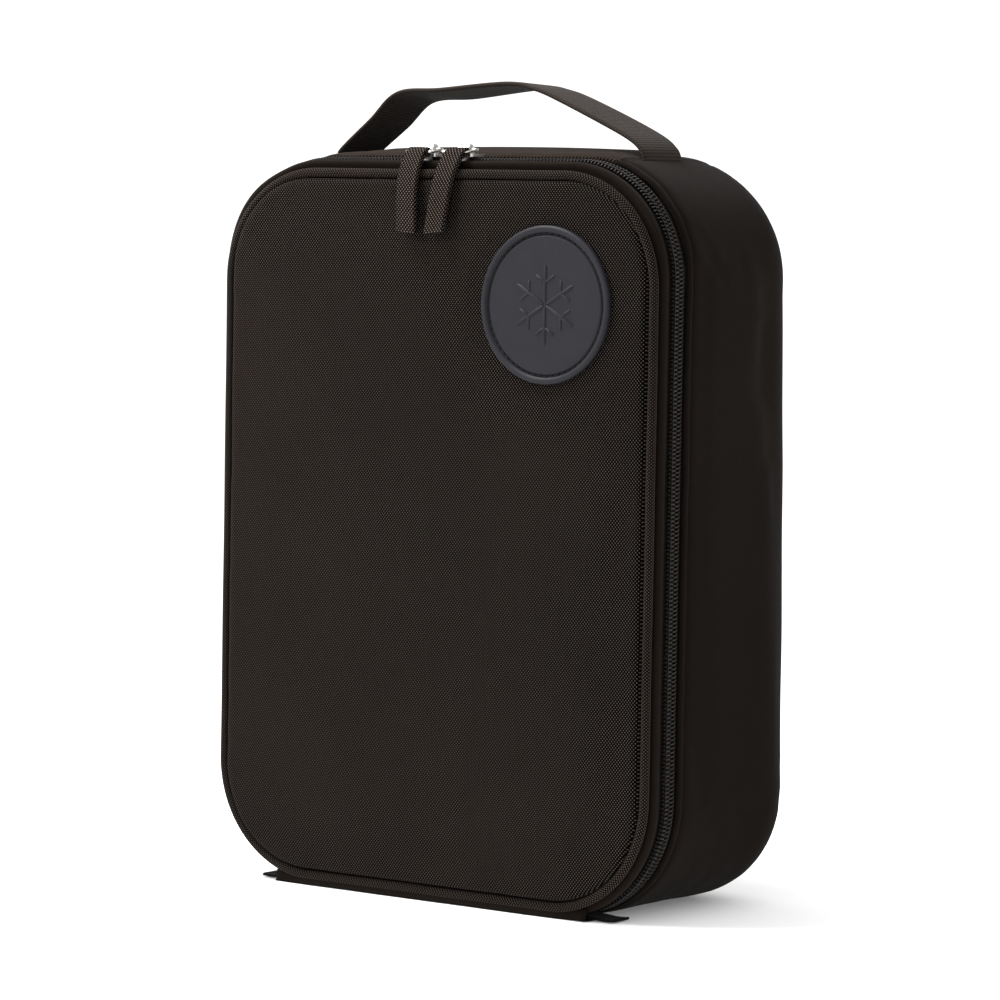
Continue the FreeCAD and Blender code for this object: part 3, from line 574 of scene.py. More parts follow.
# Each cloth's contrast sets how strong its painted highlights on the yarn crowns and its painted shade
# between the yarns are.
FACE_WEAVE = cloth("face_weave", BLACK, 0.646 * MM, 0.75 * MM, 0.97, 0.3 * MM)
SIDE_WEAVE = cloth("side_weave", FINE, 0.4 * MM, 0.4 * MM, 0.1, 0.03 * MM)
TOP_WEAVE = cloth("top_weave", shade(FINE, 1.4), 0.8 * MM, 1.2 * MM, 0.55, 0.13 * MM, twill=True)
PIPING_WEAVE = cloth("piping_weave", shade(BLACK, 1.22), 0.62 * MM, 0.7 * MM, 0.85, 0.2 * MM)
BAND_WEAVE = cloth("band_weave", shade(FINE, 1.2), 0.4 * MM, 0.4 * MM, 0.15, 0.04 * MM)
TAPE_WEAVE = cloth("tape_weave", shade(FINE, 0.75), 0.4 * MM, 0.6 * MM, 0.35, 0.1 * MM, twill=True)
WEBBING = ribbed("webbing", shade(BLACK, 2.1), 1.3 * MM, 0.35, 0.16 * MM)
PULL_WEBBING = cloth("pull_webbing", shade(BLACK, 1.9), 0.7 * MM, 0.8 * MM, 0.9, 0.25 * MM)
RIBBON = ribbed("ribbon", shade(FINE, 0.5), 0.7 * MM, 0.25, 0.08 * MM)
BINDING = ribbed("binding", shade(FINE, 0.9), 0.8 * MM, 0.2, 0.08 * MM)
LINING_FILM = film("lining_film", rgb(0.36, 0.37, 0.39))
COIL = nylon("coil_nylon", rgb(0.0085, 0.0066, 0.0056))
THREAD = nylon("thread", rgb(0.013, 0.0108, 0.0094))
RUBBER = moulded("badge_rubber", rgb(0.0118, 0.0116, 0.0145), 0.5, 1400, 0.05 * MM)
NICKEL = plated("nickel")
NET = ribbed("net", rgb(0.03, 0.028, 0.028), 0.4 * MM, 0.3, 0.03 * MM)

# ---- padded shells


def drawn_in(path, x, z, t, y):
    """Points drawn in towards the path's upright middle line: t is 0 for none and 1 for all the way."""
    anchor = np.clip(z, path.centre_low, path.centre_high)
    return np.stack([x * (1 - t), y + 0 * x, anchor + (z - anchor) * (1 - t)], 1)


def face_flat(points):
    """Places on flat cloth for a face that stands upright, seen from the front."""
    wrapped = np.concatenate([points, points[:, :1]], 1)
    return np.stack([wrapped[..., 0], wrapped[..., 2]], -1)


def inflate(name, points, held, pressure, cap, seed, inside_out):
    """Runs a cloth simulation of a closed shell under air pressure, and returns how far each point of
    its grid moves, at most about cap. held is 1 where the cloth is sewn down and 0 where it is free;
    inside_out says that the grid's faces look into the shell and are turned round first."""
    rows, columns = points.shape[:2]
    rest, where = np.unique(np.round(points.reshape(-1, 3), 6), axis=0, return_inverse=True)
    where = where.reshape(-1)
    rng = np.random.default_rng(seed)
    uneven = rest + rng.normal(0, 0.12 * MM, rest.shape)
    faces = []
    for r in range(rows - 1):
        for c in range(columns):
            n = (c + 1) % columns
            ends = [(r, c), (r, n), (r + 1, n), (r + 1, c)]
            loop = list(dict.fromkeys(int(where[a * columns + b]) for a, b in ends))
            if len(loop) > 2:
                faces.append(loop[::-1] if inside_out else loop)
    obj = new_object(name, uneven.tolist(), faces, [False] * len(faces))
    group = obj.vertex_groups.new(name="held")
    weights = np.zeros(len(rest))
    weights[where] = held.reshape(-1)
    for k, weight in enumerate(weights):
        group.add([k], float(weight), "REPLACE")
    modifier = obj.modifiers.new("cloth", "CLOTH")
    settings = modifier.settings
    settings.quality = 6
    settings.mass = 0.3
    settings.tension_stiffness = 12
    settings.compression_stiffness = 8
    settings.shear_stiffness = 4
    settings.bending_stiffness = 6
    settings.use_pressure = True
    settings.uniform_pressure_force = pressure
    settings.effector_weights.gravity = 0
    settings.vertex_group_mass = "held"
    modifier.collision_settings.use_collision = False
    for step in range(1, 21):
        bpy.context.scene.frame_set(step)
    shown = obj.evaluated_get(bpy.context.evaluated_depsgraph_get())
    moved = np.array([v.co for v in shown.data.vertices], float)
    bpy.data.objects.remove(obj)
    bpy.context.scene.frame_set(1)
    shift = (moved - rest)[where].reshape(points.shape)
    size = np.linalg.norm(shift, axis=-1, keepdims=True)
    return shift * cap * np.tanh(size / cap) / np.maximum(size, 1e-9)


def read_field(field, rows_at, path, rows_new, path_new):
    """A field on a grid of rows and path points, read on another grid of the same shell."""
    share = path_new.s / path_new.length
    known = np.append(path.s / path.length, 1.0)
    wrapped = np.concatenate([field, field[:, :1]], 1)
    along = np.stack([read_line(share, known, row) for row in wrapped])
    return np.stack([read_line(rows_new, rows_at, along[:, c]) for c in range(len(share))], 1)


def shell_rows(path, q):
    """The body's outer face at a distance q from the front along its depth: points and normals."""
    if q <= BACK_START:
        return path.at(0.0, q), path.normals()
    angle = min((q - BACK_START) / BACK_ROUND, math.pi / 2)
    inward = BACK_ROUND * (1 - math.cos(angle))
    y = BACK_START + BACK_ROUND * math.sin(angle)
    points = path.at(-inward, y)
    normal = path.normals() * math.cos(angle) + np.array([0, math.sin(angle), 0])
    if q > FLAT_START:
        points = drawn_in(path, points[:, 0], points[:, 2], (q - FLAT_START) / FLAT_REACH, y)
    return points, normal


def shell_held(path, q):
    """How firmly the shell is held: at the rim, along the bottom that it stands on, and at the
    handle's seams."""
    rim = np.clip(1 - (q - RIM_FRONT) / (14 * MM), 0, 1) + 0 * path.x
    bottom = np.clip(1 - (path.z - 1 * MM) / (14 * MM), 0, 1) * (q < FLAT_START)
    seam = np.exp(-((np.abs(path.x) - HANDLE_HALF) / (5 * MM)) ** 2) * (path.z > UPPER_PART)
    return np.clip(rim + bottom + 0.8 * seam * (q < BACK_START), 0, 1)


def simulate_body():
    """How the padded body swells: a field over rows of depth and points round the body."""
    path = body_path(6 * MM)
    rows = np.concatenate([np.arange(RIM_FRONT, FLAT_START, 5 * MM),
                           np.linspace(FLAT_START, FLAT_START + FLAT_REACH, 15)])
    points = np.stack([shell_rows(path, q)[0] for q in rows])
    held = np.stack([shell_held(path, q) for q in rows])
    field = inflate("body_cloth", points, held, 4.0, 1.2 * MM, 3, True)
    return field, rows, path


def sag(points):
    """The body leans out towards its foot at the back, and its roof domes up a little."""
    x, y, z = points[..., 0], points[..., 1], points[..., 2]
    depth = np.clip((y - RIM_FRONT) / (BACK_FACE - RIM_FRONT), 0, 1)
    heights = np.array([0, 10, 20, 40, 130, 170, 233, 285]) * MM
    leans = np.array([3.5, 5.0, 5.0, 3.0, 2.6, 1.7, -1.2, -1.4]) * MM
    lean = depth ** 1.5 * np.interp(z, heights, leans)
    points[..., 0] += np.sign(x) * lean * np.clip(np.abs(x) / (80 * MM), 0, 1)
    dome = np.clip((z - 262 * MM) / (22 * MM), 0, 1) * np.clip(1 - (x / (98 * MM)) ** 2, 0, 1)
    swell = np.clip(np.sin(np.pi * np.clip((y - RIM_FRONT) / (82 * MM), 0, 1)), 0, 1)
    points[..., 2] += 2.6 * MM * dome * swell
    uneven = (np.sin(z / (23 * MM) + y / (31 * MM)) * np.sin(x / (29 * MM) + 0.7)
              + np.sin(z / (9 * MM) + 2 * x / (17 * MM) + y / (13 * MM)) * 0.3)
    free = np.clip(depth * 6, 0, 1) * np.clip(z / (12 * MM), 0, 1)
    points[..., 0] += np.sign(x) * 0.3 * MM * uneven * free
    points[..., 1] += 0.3 * MM * uneven * (y > BACK_FACE - 3 * MM)
    points[..., 2] = np.maximum(points[..., 2], low("side_gusset").z)
    return points


def rim_profile():
    """The gusset's front edge: fabric folded over the rim, padded, with a stitch line behind it."""
    return in_mm([(-2.5, 3.6), (-2.5, 1.9), (-2.25, 0.9), (-1.7, 0.25), (-1.0, 0.0), (-0.4, 0.2),
                  (0.0, 0.75), (0.1, 1.5), (0.0, 2.1), (-0.4, 2.55), (-0.42, 2.85), (0.05, 3.4),
                  (0.4, 4.4), (0.55, 6.0), (0.5, 9.0)], 0.0, RIM_FRONT)


def rim_set_back(path):
    """How far the folded rim draws back round the upper corners, where the zip turns tightest."""
    corner = np.exp(-((path.z - 252 * MM) / (17 * MM)) ** 2) * (np.abs(path.x) > 60 * MM)
    return 0.8 * MM * corner


def gusset_points(path, field):
    """The gusset's outer face from the rim's fold to the back seam: points and flat rows."""
    profile = rim_profile()
    back = rim_set_back(path)
    rows = [path.at(n, y + back) for n, y in profile]
    reach = [y for _, y in profile]
    last = profile[-1][1]
    for q in np.arange(last + 3 * MM, SEAM - 1.4 * MM, 2.6 * MM):
        points, normal = shell_rows(path, q)
        swell = 0.5 * MM * np.clip(1 - (q - last) / (30 * MM), 0, 1)
        fade = np.clip(1 - (q - last) / (40 * MM), 0, 1)
        points = points + normal * swell
        points[:, 1] += back * fade
        rows.append(points)
        reach.append(q)
    for tuck, q in in_mm([(0.0, -0.9), (0.35, -0.4), (0.9, 0.0)], 0.0, SEAM):
        points, normal = shell_rows(path, q)
        rows.append(points - normal * tuck)
        reach.append(q)
    reach = np.array(reach)
    moved = read_field(*field, np.maximum(reach, RIM_FRONT), path)
    return sag(np.stack(rows) + moved), reach


def build_gusset(field):
    """Side and top gusset, split at the handle's seams, with a groove and a seam allowance there."""
    path = body_path(2.2 * MM)
    points, reach = gusset_points(path, field)
    on_top = (np.abs(path.x) < HANDLE_HALF) & (path.z > UPPER_PART)
    groove = np.exp(-((np.abs(path.x) - HANDLE_HALF) / (1.1 * MM)) ** 2) * (path.z > UPPER_PART)
    sink = groove * 0.7 * MM
    normals = path.normals()
    away = np.clip((reach - RIM_FRONT) / (3 * MM), 0, 1)
    points -= normals[None] * sink[None, :, None] * away[:, None, None]
    flat = places(path.lengths(), reach)
    first = int(np.argmax(on_top))
    last = len(on_top) - int(np.argmax(on_top[::-1]))
    top = np.arange(first, last)
    side = np.arange(last - 1, first + 1 + len(on_top))
    for name, keep, material, nodes in (
            ("top_gusset_cover", top, TOP_WEAVE, ["top_gusset"]),
            ("side_gusset_cover", side, SIDE_WEAVE, ["side_gusset", "body_foam"])):
        columns = keep % len(on_top)
        flat_part = flat[:, columns].copy()
        flat_part[:, :, 0] += (keep // len(on_top))[None] * path.length
        piece = grid(name, points[:, columns], flat_part, False, material, flip=True)
        fit(piece, "bag_body", "side_weave", *nodes)
    rim = [k for k, (n, y) in enumerate(rim_profile()) if n < -0.41 * MM and y > RIM_FRONT + 2.5 * MM]
    line = (points[rim[-2]] + points[rim[-1]]) / 2
    loop = np.concatenate([line, line[:1]])
    out = np.concatenate([normals, normals[:1]])
    raised = loop + out * 0.12 * MM
    thread = stitches("rim_stitches", raised, out, 2.9 * MM, 2.2 * MM, 0.26 * MM, THREAD)
    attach(thread, "bag_body")


def build_back(field):
    """The back panel: from the seam round the last of the corner to a softly crowned flat."""
    path = body_path(3 * MM)
    turned_in = in_mm([(0.0, 0.9), (0.4, 0.35), (0.9, 0.0)], SEAM)
    turned_in += [(q, 0.0) for q in np.arange(SEAM + 2 * MM, FLAT_START, 2 * MM)]
    turned_in += [(q, 0.0) for q in FLAT_START + FLAT_REACH * np.linspace(0.01, 1, 30)]
    rows = []
    for q, tuck in turned_in:
        points, normal = shell_rows(path, q)
        rows.append(points - normal * tuck)
    moved = read_field(*field, np.array(turned_in)[:, 0], path)
    points = sag(np.stack(rows) + moved)
    back = grid("back_cover", points, face_flat(points), True, SIDE_WEAVE, flip=True)
    fit(back, "bag_body", "side_weave", "back_panel", "back_foam")


def simulate_panel():
    """How the padded front panel swells between its seams."""
    path = panel_path(6 * MM)
    rows = np.linspace(0, 1, 20)
    points = np.stack([drawn_in(path, path.x, path.z, t, PANEL_FRONT) for t in rows])
    held = np.stack([np.clip(1 - t * 9, 0, 1) + 0 * path.x for t in rows])
    field = inflate("panel_cloth", points, held, 3.0, 1.0 * MM, 5, False)
    return field, rows, path


def build_front_panel(field):
    """The lid's padded front, pulled down into its seam all round."""
    path = panel_path(2.2 * MM)
    half = high("front_panel").x
    edge = in_mm([(-0.5, 4.6), (-0.7, 3.2), (-0.75, 2.2), (-0.6, 1.4), (-0.25, 0.8),
                  (0.3, 0.4), (1.2, 0.14), (2.4, 0.02), (4.0, 0.0), (8.0, 0.0)], 0.0, PANEL_FRONT)
    rows = [path.at(-inset, y) for inset, y in edge]
    t_rows = [inset / half for inset, _ in edge]
    for t in np.linspace(0.12, 1, 34):
        rows.append(drawn_in(path, path.x, path.z, t, PANEL_FRONT))
        t_rows.append(t)
    moved = read_field(*field, np.clip(np.array(t_rows), 0, 1), path)
    moved[..., 0] *= 0.2
    moved[..., 2] *= 0.2
    points = np.stack(rows) + moved
    x, z = points[..., 0], points[..., 2]
    badge = badge_centre()
    near = np.hypot(x - badge.x, z - badge.z) / (38 * MM)
    pressed = np.clip(1 - near ** 6, 0, 1)
    uneven = 0.16 * MM * np.sin(x / (21 * MM) + 0.4) * np.sin(z / (27 * MM) + 1.1)
    uneven += 0.06 * MM * np.sin(x / (8 * MM) + z / (11 * MM))
    inside = np.clip(np.array(t_rows) * 12, 0, 1)[:, None]
    points[..., 1] += uneven * inside
    target = PANEL_FRONT - 0.05 * MM
    points[..., 1] = points[..., 1] * (1 - pressed) + np.maximum(points[..., 1], target) * pressed
    panel = grid("front_cover", points, face_flat(points), True, FACE_WEAVE)
    fit(panel, "lid", "face_weave", "front_panel", "lid_foam")


def build_piping():
    """Fabric folded round a cord, with the slight waviness of a sewn edge."""
    path = piping_path(1.6 * MM)
    profile = arc_points(0, PIPING_Y, PIPING_ROUND, 0, 360, 19)
    cord = sweep("piping_cover", path, profile, PIPING_WEAVE, flip=True, wobble=0.05 * MM)
    seam_y = PIPING_Y + 0.6 * PIPING_ROUND
    flange = [(-9 * MM, seam_y), (-4 * MM, seam_y), (0.5 * MM, seam_y)]
    allowance = sweep("piping_flange", path, flange, TAPE_WEAVE, flip=True)
    piping = joined("piping_cover", [cord, allowance])
    fit(piping, "lid", "piping", "front_piping", "piping_cord")


def build_band():
    """The narrow strip between the piping and the zip, folded at both edges."""
    path = without_bottom(band_path(2 * MM))
    front, back = low("lid_band").y, high("lid_band").y
    profile = in_mm([(-12.0, 0.3), (-6.0, 0.3), (-3.2, 0.2), (-2.4, -0.1), (-1.4, -0.35),
                     (-0.6, -0.2), (-0.1, 0.35), (0.05, 1.0)], 0.0, front)
    profile += in_mm([(0.05, -0.7), (-0.1, -0.15), (-0.5, 0.05), (-1.0, -0.1), (-1.3, -0.6)], 0.0, back)
    band = sweep("lid_band_cover", path, profile, BAND_WEAVE, flip=True, wobble=0.04 * MM)
    fit(band, "lid", "smooth_band", "lid_band")


def build_hinge_strip():
    """The strip that the lid turns on, along the bottom between the zip's ends."""
    box_low, box_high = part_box("hinge_strip")
    half = ZIP_END + 3 * MM
    xs = np.linspace(-half, half, 60)
    front = PIPING_Y - 0.5 * MM
    profile = in_mm([(0.9, 4.4), (0.2, 3.0), (0.0, 1.8), (0.3, 0.7), (1.2, 0.25)], front)
    profile += in_mm([(2.0, 0.2), (5.0, 0.3), (8.0, 0.4), (11.0, 0.45)], box_low.y)
    profile += in_mm([(1.5, 0.35)], box_high.y)
    taper_start = 56 * MM
    taper = ease((np.abs(xs) - taper_start) / (half - taper_start))
    wave = 0.12 * MM * np.sin(xs / (9 * MM)) + 0.15 * MM
    points = np.stack([np.stack([xs, y + 1.5 * MM * taper * (z > 0.5 * MM), z + wave], 1)
                       for y, z in profile])
    flat = places(xs, distances(profile))
    strip = grid("hinge_strip_cover", points, flat, False, TAPE_WEAVE, flip=True)
    thicken(strip, 0.5 * MM, 1)
    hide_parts("hinge_strip")
    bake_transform(strip)


# ---- zip


def build_tape(name, front, back):
    """One half of the zip's tape."""
    profile = [(0.0, y) for y in np.linspace(front, back, 9)]
    tape = sweep(name, without_bottom(chain_path(2 * MM)), profile, TAPE_WEAVE, flip=True)
    thicken(tape, TAPE_THICK, -1)
    return tape


def build_coil(name, side, phase):
    """One half of the zip's coil: a flattened spiral of wire whose heads reach past the middle."""
    path = without_bottom(chain_path(1 * MM))
    turns = int((path.s[-1] - path.s[0]) / COIL_PITCH)
    steps = 12
    t = np.arange(turns * steps) / steps
    s = path.s[0] + (t + phase) * COIL_PITCH
    s = np.clip(s, path.s[0], path.s[-1])
    base = {key: np.interp(s, path.s, getattr(path, key)) for key in ("x", "z", "nx", "nz")}
    angle = 2 * math.pi * t
    reach = np.sign(np.cos(angle)) * np.abs(np.cos(angle)) ** 0.7
    rise = np.sign(np.sin(angle)) * np.abs(np.sin(angle)) ** 0.8
    y = CHAIN_Y + side * (COIL_WIDTH / 2 + 0.15 * MM) - side * reach * (COIL_WIDTH / 2 + 0.35 * MM)
    wire = 0.37 * MM
    out = COIL_HIGH / 2 + rise * (COIL_HIGH / 2 - wire)
    line = np.stack([base["x"] + base["nx"] * out, y, base["z"] + base["nz"] * out], 1)
    return tube(name, line, wire, COIL, sides=6)


def coil_thread(name, side):
    """The row of stitches that holds one half of the coil on its tape."""
    path = without_bottom(chain_path(1.2 * MM))
    out = COIL_HIGH - 0.15 * MM
    line = path.at(out, CHAIN_Y + side * 2.35 * MM)
    return stitches(name, line, path.normals(), COIL_PITCH, 1.25 * MM, 0.22 * MM, THREAD, 0.25 * side)


def build_zip():
    """The lid's half, towards the front, and the body's half, of tape, coil and thread."""
    gap = 0.35 * MM
    front = (low("lid_zip_tape").y + 0.8 * MM, CHAIN_Y - gap)
    back = (CHAIN_Y + gap, high("body_zip_tape").y - 0.2 * MM)
    halves = [("lid", "lid", front, -1, 0.0), ("body", "bag_body", back, 1, 0.5)]
    for half, body, edges, _, _ in halves:
        fit(build_tape(f"{half}_tape_cover", *edges), body, "zip_tape", f"{half}_zip_tape")
    for half, body, _, side, phase in halves:
        fit(build_coil(f"{half}_coil", side, phase), body, "zip_coil", f"{half}_zip_coil")
    for half, body, _, side, _ in halves:
        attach(coil_thread(f"{half}_coil_thread", side), body)


def build_hardware():
    """Sliders and bails keep their CAD shapes, with softened edges and nickel plate."""
    for side in ("left", "right"):
        for part, width in (("slider", 0.28 * MM), ("bail", 0.0)):
            node = frame["nodes"][f"zip_{part}_{side}"]
            node.data.materials.clear()
            node.data.materials.append(NICKEL)
            node.data.polygons.foreach_set("use_smooth", [True] * len(node.data.polygons))
            if width:
                bevel = node.modifiers.new("soft_edges", "BEVEL")
                bevel.width = width
                bevel.segments = 3
                bevel.limit_method = "ANGLE"
            normals = node.modifiers.new("shading", "WEIGHTED_NORMAL")
            normals.keep_sharp = True


# The middle of each pull from its bail to its tip: out from the bag, and down as a share of its length.
PULL_SHAPE = [(0.0, 0.0), (-3.4, -0.07), (-7.0, -0.27), (-9.0, -0.55), (-10.4, -1.0)]
PULL_WIDTH = 9.0 * MM
PULL_SHIFT = {"left": 0.6 * MM, "right": 2.1 * MM}
PULL_LEAN = {"left": 2.4 * MM, "right": -3.0 * MM}


def build_pull(side):
    """A tape doubled round the bail and sewn to itself, hanging over the bag's edge."""
    node = f"zip_pull_{side}"
    swing = next(joint for joint in frame["joints"] if joint["name"] == f"pull_{side}_swing")
    bar = np.array(swing["pos_m"], float)
    x = bar[0] + PULL_SHIFT[side]
    length = bar[2] - low(node).z - 0.4 * MM
    middle = smooth_line([(x, bar[1] + y * MM, bar[2] + length * z) for y, z in PULL_SHAPE], 40)
    share = np.linspace(0, 1, len(middle))
    middle[:, 0] += PULL_LEAN[side] * share ** 1.3
    along = unit(np.gradient(middle, axis=0))
    out = unit(np.cross(along, [[1.0, 0, 0]]))
    if out[20, 1] > 0:
        out = -out
    layer = 0.56 * MM + 0.75 * MM * np.exp(-(share / 0.09) ** 2)
    front = (middle + out * layer[:, None])[2:]
    rear = (middle - out * layer[:, None])[2:]
    eye = 1.32 * MM
    turn_from, turn_to = (math.atan2(end[2] - bar[2], end[1] - bar[1]) for end in (front[0], rear[0]))
    while turn_to > turn_from:
        turn_to -= 2 * math.pi
    turns = np.linspace(turn_from, turn_to, 14)[1:-1]
    wrap = np.stack([0 * turns + x, bar[1] + eye * np.cos(turns), bar[2] + eye * np.sin(turns)], 1)
    line = np.concatenate([front[::-1], wrap, rear])
    lean = unit(np.array([[length, 0, -PULL_LEAN[side] * 1.2]]))
    tilt = np.concatenate([share[2:][::-1], 0 * turns, share[2:]])
    sideways = unit(np.array([[1.0, 0, 0]]) * (1 - tilt[:, None]) + lean * tilt[:, None])
    line = smooth_line(line, 110)
    sideways = read_line(np.linspace(0, 1, 110), np.linspace(0, 1, len(sideways)), sideways)
    pull = strap(f"pull_tape_{side}", line, sideways, PULL_WIDTH, 1.05 * MM, PULL_WEBBING, 0.1 * MM)
    fit(pull, f"pull_{side}", "webbing", node)


def build_end_tab(side):
    """A folded ribbon that closes one end of the zip and pokes out under the corner."""
    node = f"zip_end_tab_{side}"
    box_low, box_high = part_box(node)
    sign = 1 if side == "right" else -1
    tip = box_high.x if side == "right" else box_low.x
    root = tip - sign * (box_high.x - box_low.x + 6 * MM)
    y = (box_low.y + box_high.y) / 2
    line = smooth_line([(root, y, 2.4 * MM), (root + sign * 7 * MM, y, 1.9 * MM),
                        (tip - sign * 8 * MM, y, 1.15 * MM),
                        (tip - sign * 4 * MM, y + 0.3 * MM, 0.85 * MM), (tip, y + 0.5 * MM, 1.1 * MM)], 24)
    sideways = np.tile([0.0, 1.0, 0.0], (len(line), 1))
    tab = strap(f"end_tab_{side}", line, sideways, box_high.y - box_low.y, 1.1 * MM, RIBBON)
    fit(tab, "bag_body", "ribbon", node)


# ---- handle

# The handle's middle line, as shares of half its span and of its height above its seams.
HANDLE_SHAPE = [(-1.0, 0.0), (-1.01, 0.09), (-0.8, 0.5), (-0.62, 0.86), (-0.33, 0.91), (0.1, 1.01),
                (0.28, 0.95), (0.47, 0.78), (0.85, 0.36), (0.97, 0.16), (1.0, 0.0)]


def build_handle():
    """Flat webbing that leaves two seams across the top and slouches over to one side."""
    box_low, box_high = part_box("handle_strap")
    y = (box_low.y + box_high.y) / 2
    base = box_low.z
    rise = box_high.z - base - 1.4 * MM
    root = base - 2.5 * MM
    points = [(-HANDLE_HALF - 1.2 * MM, y, root)]
    points += [(HANDLE_HALF * a, y, base + rise * b) for a, b in HANDLE_SHAPE]
    points += [(HANDLE_HALF + 0.6 * MM, y, root)]
    line = smooth_line(points, 150)
    share = np.linspace(-1, 1, len(line))
    line[:, 1] += 0.8 * MM * np.sin(share * 2.4) * (1 - share ** 2)
    twist = 0.05 * np.sin(share * 3) - 0.06 * np.clip(1 - share ** 2, 0, 1)
    sideways = np.stack([0 * twist, np.cos(twist), np.sin(twist)], 1)
    width = box_high.y - box_low.y
    handle = strap("handle_webbing", line, sideways, width, 1.8 * MM, WEBBING, 0.12 * MM)
    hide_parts("handle_strap")
    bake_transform(handle)


# ---- badge


def badge_centre():
    box_low, box_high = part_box("badge_patch")
    return (box_low + box_high) / 2


def circle(centre, radius, y, turns):
    x, z = centre.x + radius * np.cos(turns), centre.z + radius * np.sin(turns)
    return np.stack([x, y + 0 * turns, z], 1)


def turned(name, centre, profile, material):
    """A turned shape about an axis along Y: profile of (radius, y) points."""
    turns = np.linspace(0, 2 * math.pi, 160, endpoint=False)
    points = np.stack([circle(centre, r, y, turns) for r, y in profile])
    flat = places(np.append(turns, 2 * math.pi) * 25 * MM, distances(profile))
    return grid(name, points, flat, True, material)


def build_badge():
    """A moulded badge with a thick rounded rim, a sewn groove and a six-armed snowflake."""
    box_low, box_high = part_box("badge_patch")
    centre = badge_centre()
    radius = (box_high.x - box_low.x) / 2
    top = box_low.y
    face = top + 0.75 * MM
    under = PANEL_FRONT + 0.4 * MM
    profile = in_mm([(-0.3, 0.0), (0.0, -0.8)], radius, under)
    profile += in_mm([(0.0, 0.9), (-0.15, 0.45), (-0.55, 0.1), (-1.2, 0.0), (-1.9, 0.08),
                      (-2.45, 0.4)], radius, top)
    profile += in_mm([(-2.75, 0.75), (-3.1, 1.0), (-3.5, 0.75), (-3.8, 0.05), (-4.3, 0.0),
                      (-8.0, 0.0), (-16.0, 0.0), (-24.0, 0.0)], radius, face)
    profile += [(0.05 * MM, face)]
    disc = turned("badge", centre, profile, RUBBER)
    line = circle(centre, radius - 3.1 * MM, face + 0.65 * MM, np.linspace(0, 2 * math.pi, 220))
    out = np.tile([0.0, -1.0, 0.0], (len(line), 1))
    thread = stitches("badge_thread", line, out, 2.75 * MM, 2.1 * MM, 0.25 * MM, RUBBER)
    badge = joined("badge", [disc, thread] + build_snowflake(centre, face))
    fit(badge, "lid", "rubber", "badge_patch")


def build_snowflake(centre, face):
    """Rounded ridges for the snowflake's arms and twigs."""
    ridges = []

    def ridge(start, end, width, tall):
        ends = [np.array([centre.x + a, face, centre.z + b]) for a, b in (start, end)]
        along = unit(ends[1] - ends[0])
        side = np.cross(along, [0.0, -1.0, 0.0])
        angles = np.linspace(0, math.pi, 7)
        rows = []
        for t in (0, 0.06, 0.5, 0.94, 1):
            swell = 0.35 if t in (0, 1) else 1.0
            place = ends[0] + (ends[1] - ends[0]) * t
            rows.append([place + side * width / 2 * swell * math.cos(a)
                         + np.array([0.0, -tall * swell * math.sin(a) + 0.05 * MM, 0.0]) for a in angles])
        flat = places(np.arange(len(angles)) * 0.2 * MM, np.arange(len(rows)) * 2 * MM)
        ridges.append(grid("ridge", np.array(rows), flat, False, RUBBER, flip=True))

    for turn in np.radians(np.arange(0, 360, 60)):
        tip = np.array([math.sin(turn), math.cos(turn)])
        ridge(tip * 0.5 * MM, tip * 15 * MM, 1.5 * MM, 0.5 * MM)
        for lean in (-1, 1):
            twig = turn + lean * math.radians(60)
            root = tip * 8.5 * MM
            ridge(root, root + np.array([math.sin(twig), math.cos(twig)]) * 5 * MM, 1.2 * MM, 0.42 * MM)
    return ridges


# ---- inside


def crease(points, size):
    """Soft folds in a loose lining."""
    x, y, z = points[..., 0], points[..., 1], points[..., 2]
    folds = (np.sin(z / (13 * MM) + x / (41 * MM)) * np.sin(y / (17 * MM) + x / (23 * MM))
             + 0.5 * np.sin(x / (11 * MM) + y / (9 * MM) + z / (19 * MM)))
    return size * folds


def build_liner():
    """The body's lining: a lip at the front, the walls and a soft-cornered back."""
    path = body_path(3.2 * MM)
    front = low("body_liner").y
    back = high("body_liner").y - LINING
    inner_round = BACK_ROUND - WALL
    start = back - inner_round
    rows = [path.at(-2.95 * MM, front + 0.3 * MM), path.at(-4.2 * MM, front - 0.1 * MM),
            path.at(-WALL + 0.3 * MM, front + 0.2 * MM), path.at(-WALL, front + 1.2 * MM)]
    rows += [path.at(-WALL, y) for y in np.arange(front + 4 * MM, start, 3 * MM)]
    for angle in np.radians(np.linspace(0, 90, 9)):
        inset = WALL + inner_round * (1 - math.cos(angle))
        rows.append(path.at(-inset, start + inner_round * math.sin(angle)))
    x, _, z = rows[-1].T
    rows += [drawn_in(path, x, z, t, back) for t in np.linspace(0.06, 1, 22)]
    points = np.stack(rows)
    depth = np.clip(np.arange(len(rows)) / 10, 0, 1)[:, None]
    fold = crease(points, 0.5 * MM) * depth
    inward = -path.normals()[None]
    on_back = np.clip((points[..., 1] - start) / inner_round, 0, 1)
    points += inward * (np.abs(fold) * (1 - on_back))[..., None]
    points[..., 1] -= np.abs(fold) * on_back
    flat = places(path.lengths(), distances(points[:, 0]))
    liner = grid("liner", points, flat, True, LINING_FILM, flip=True)
    fit(liner, "bag_body", "lining", "body_liner")


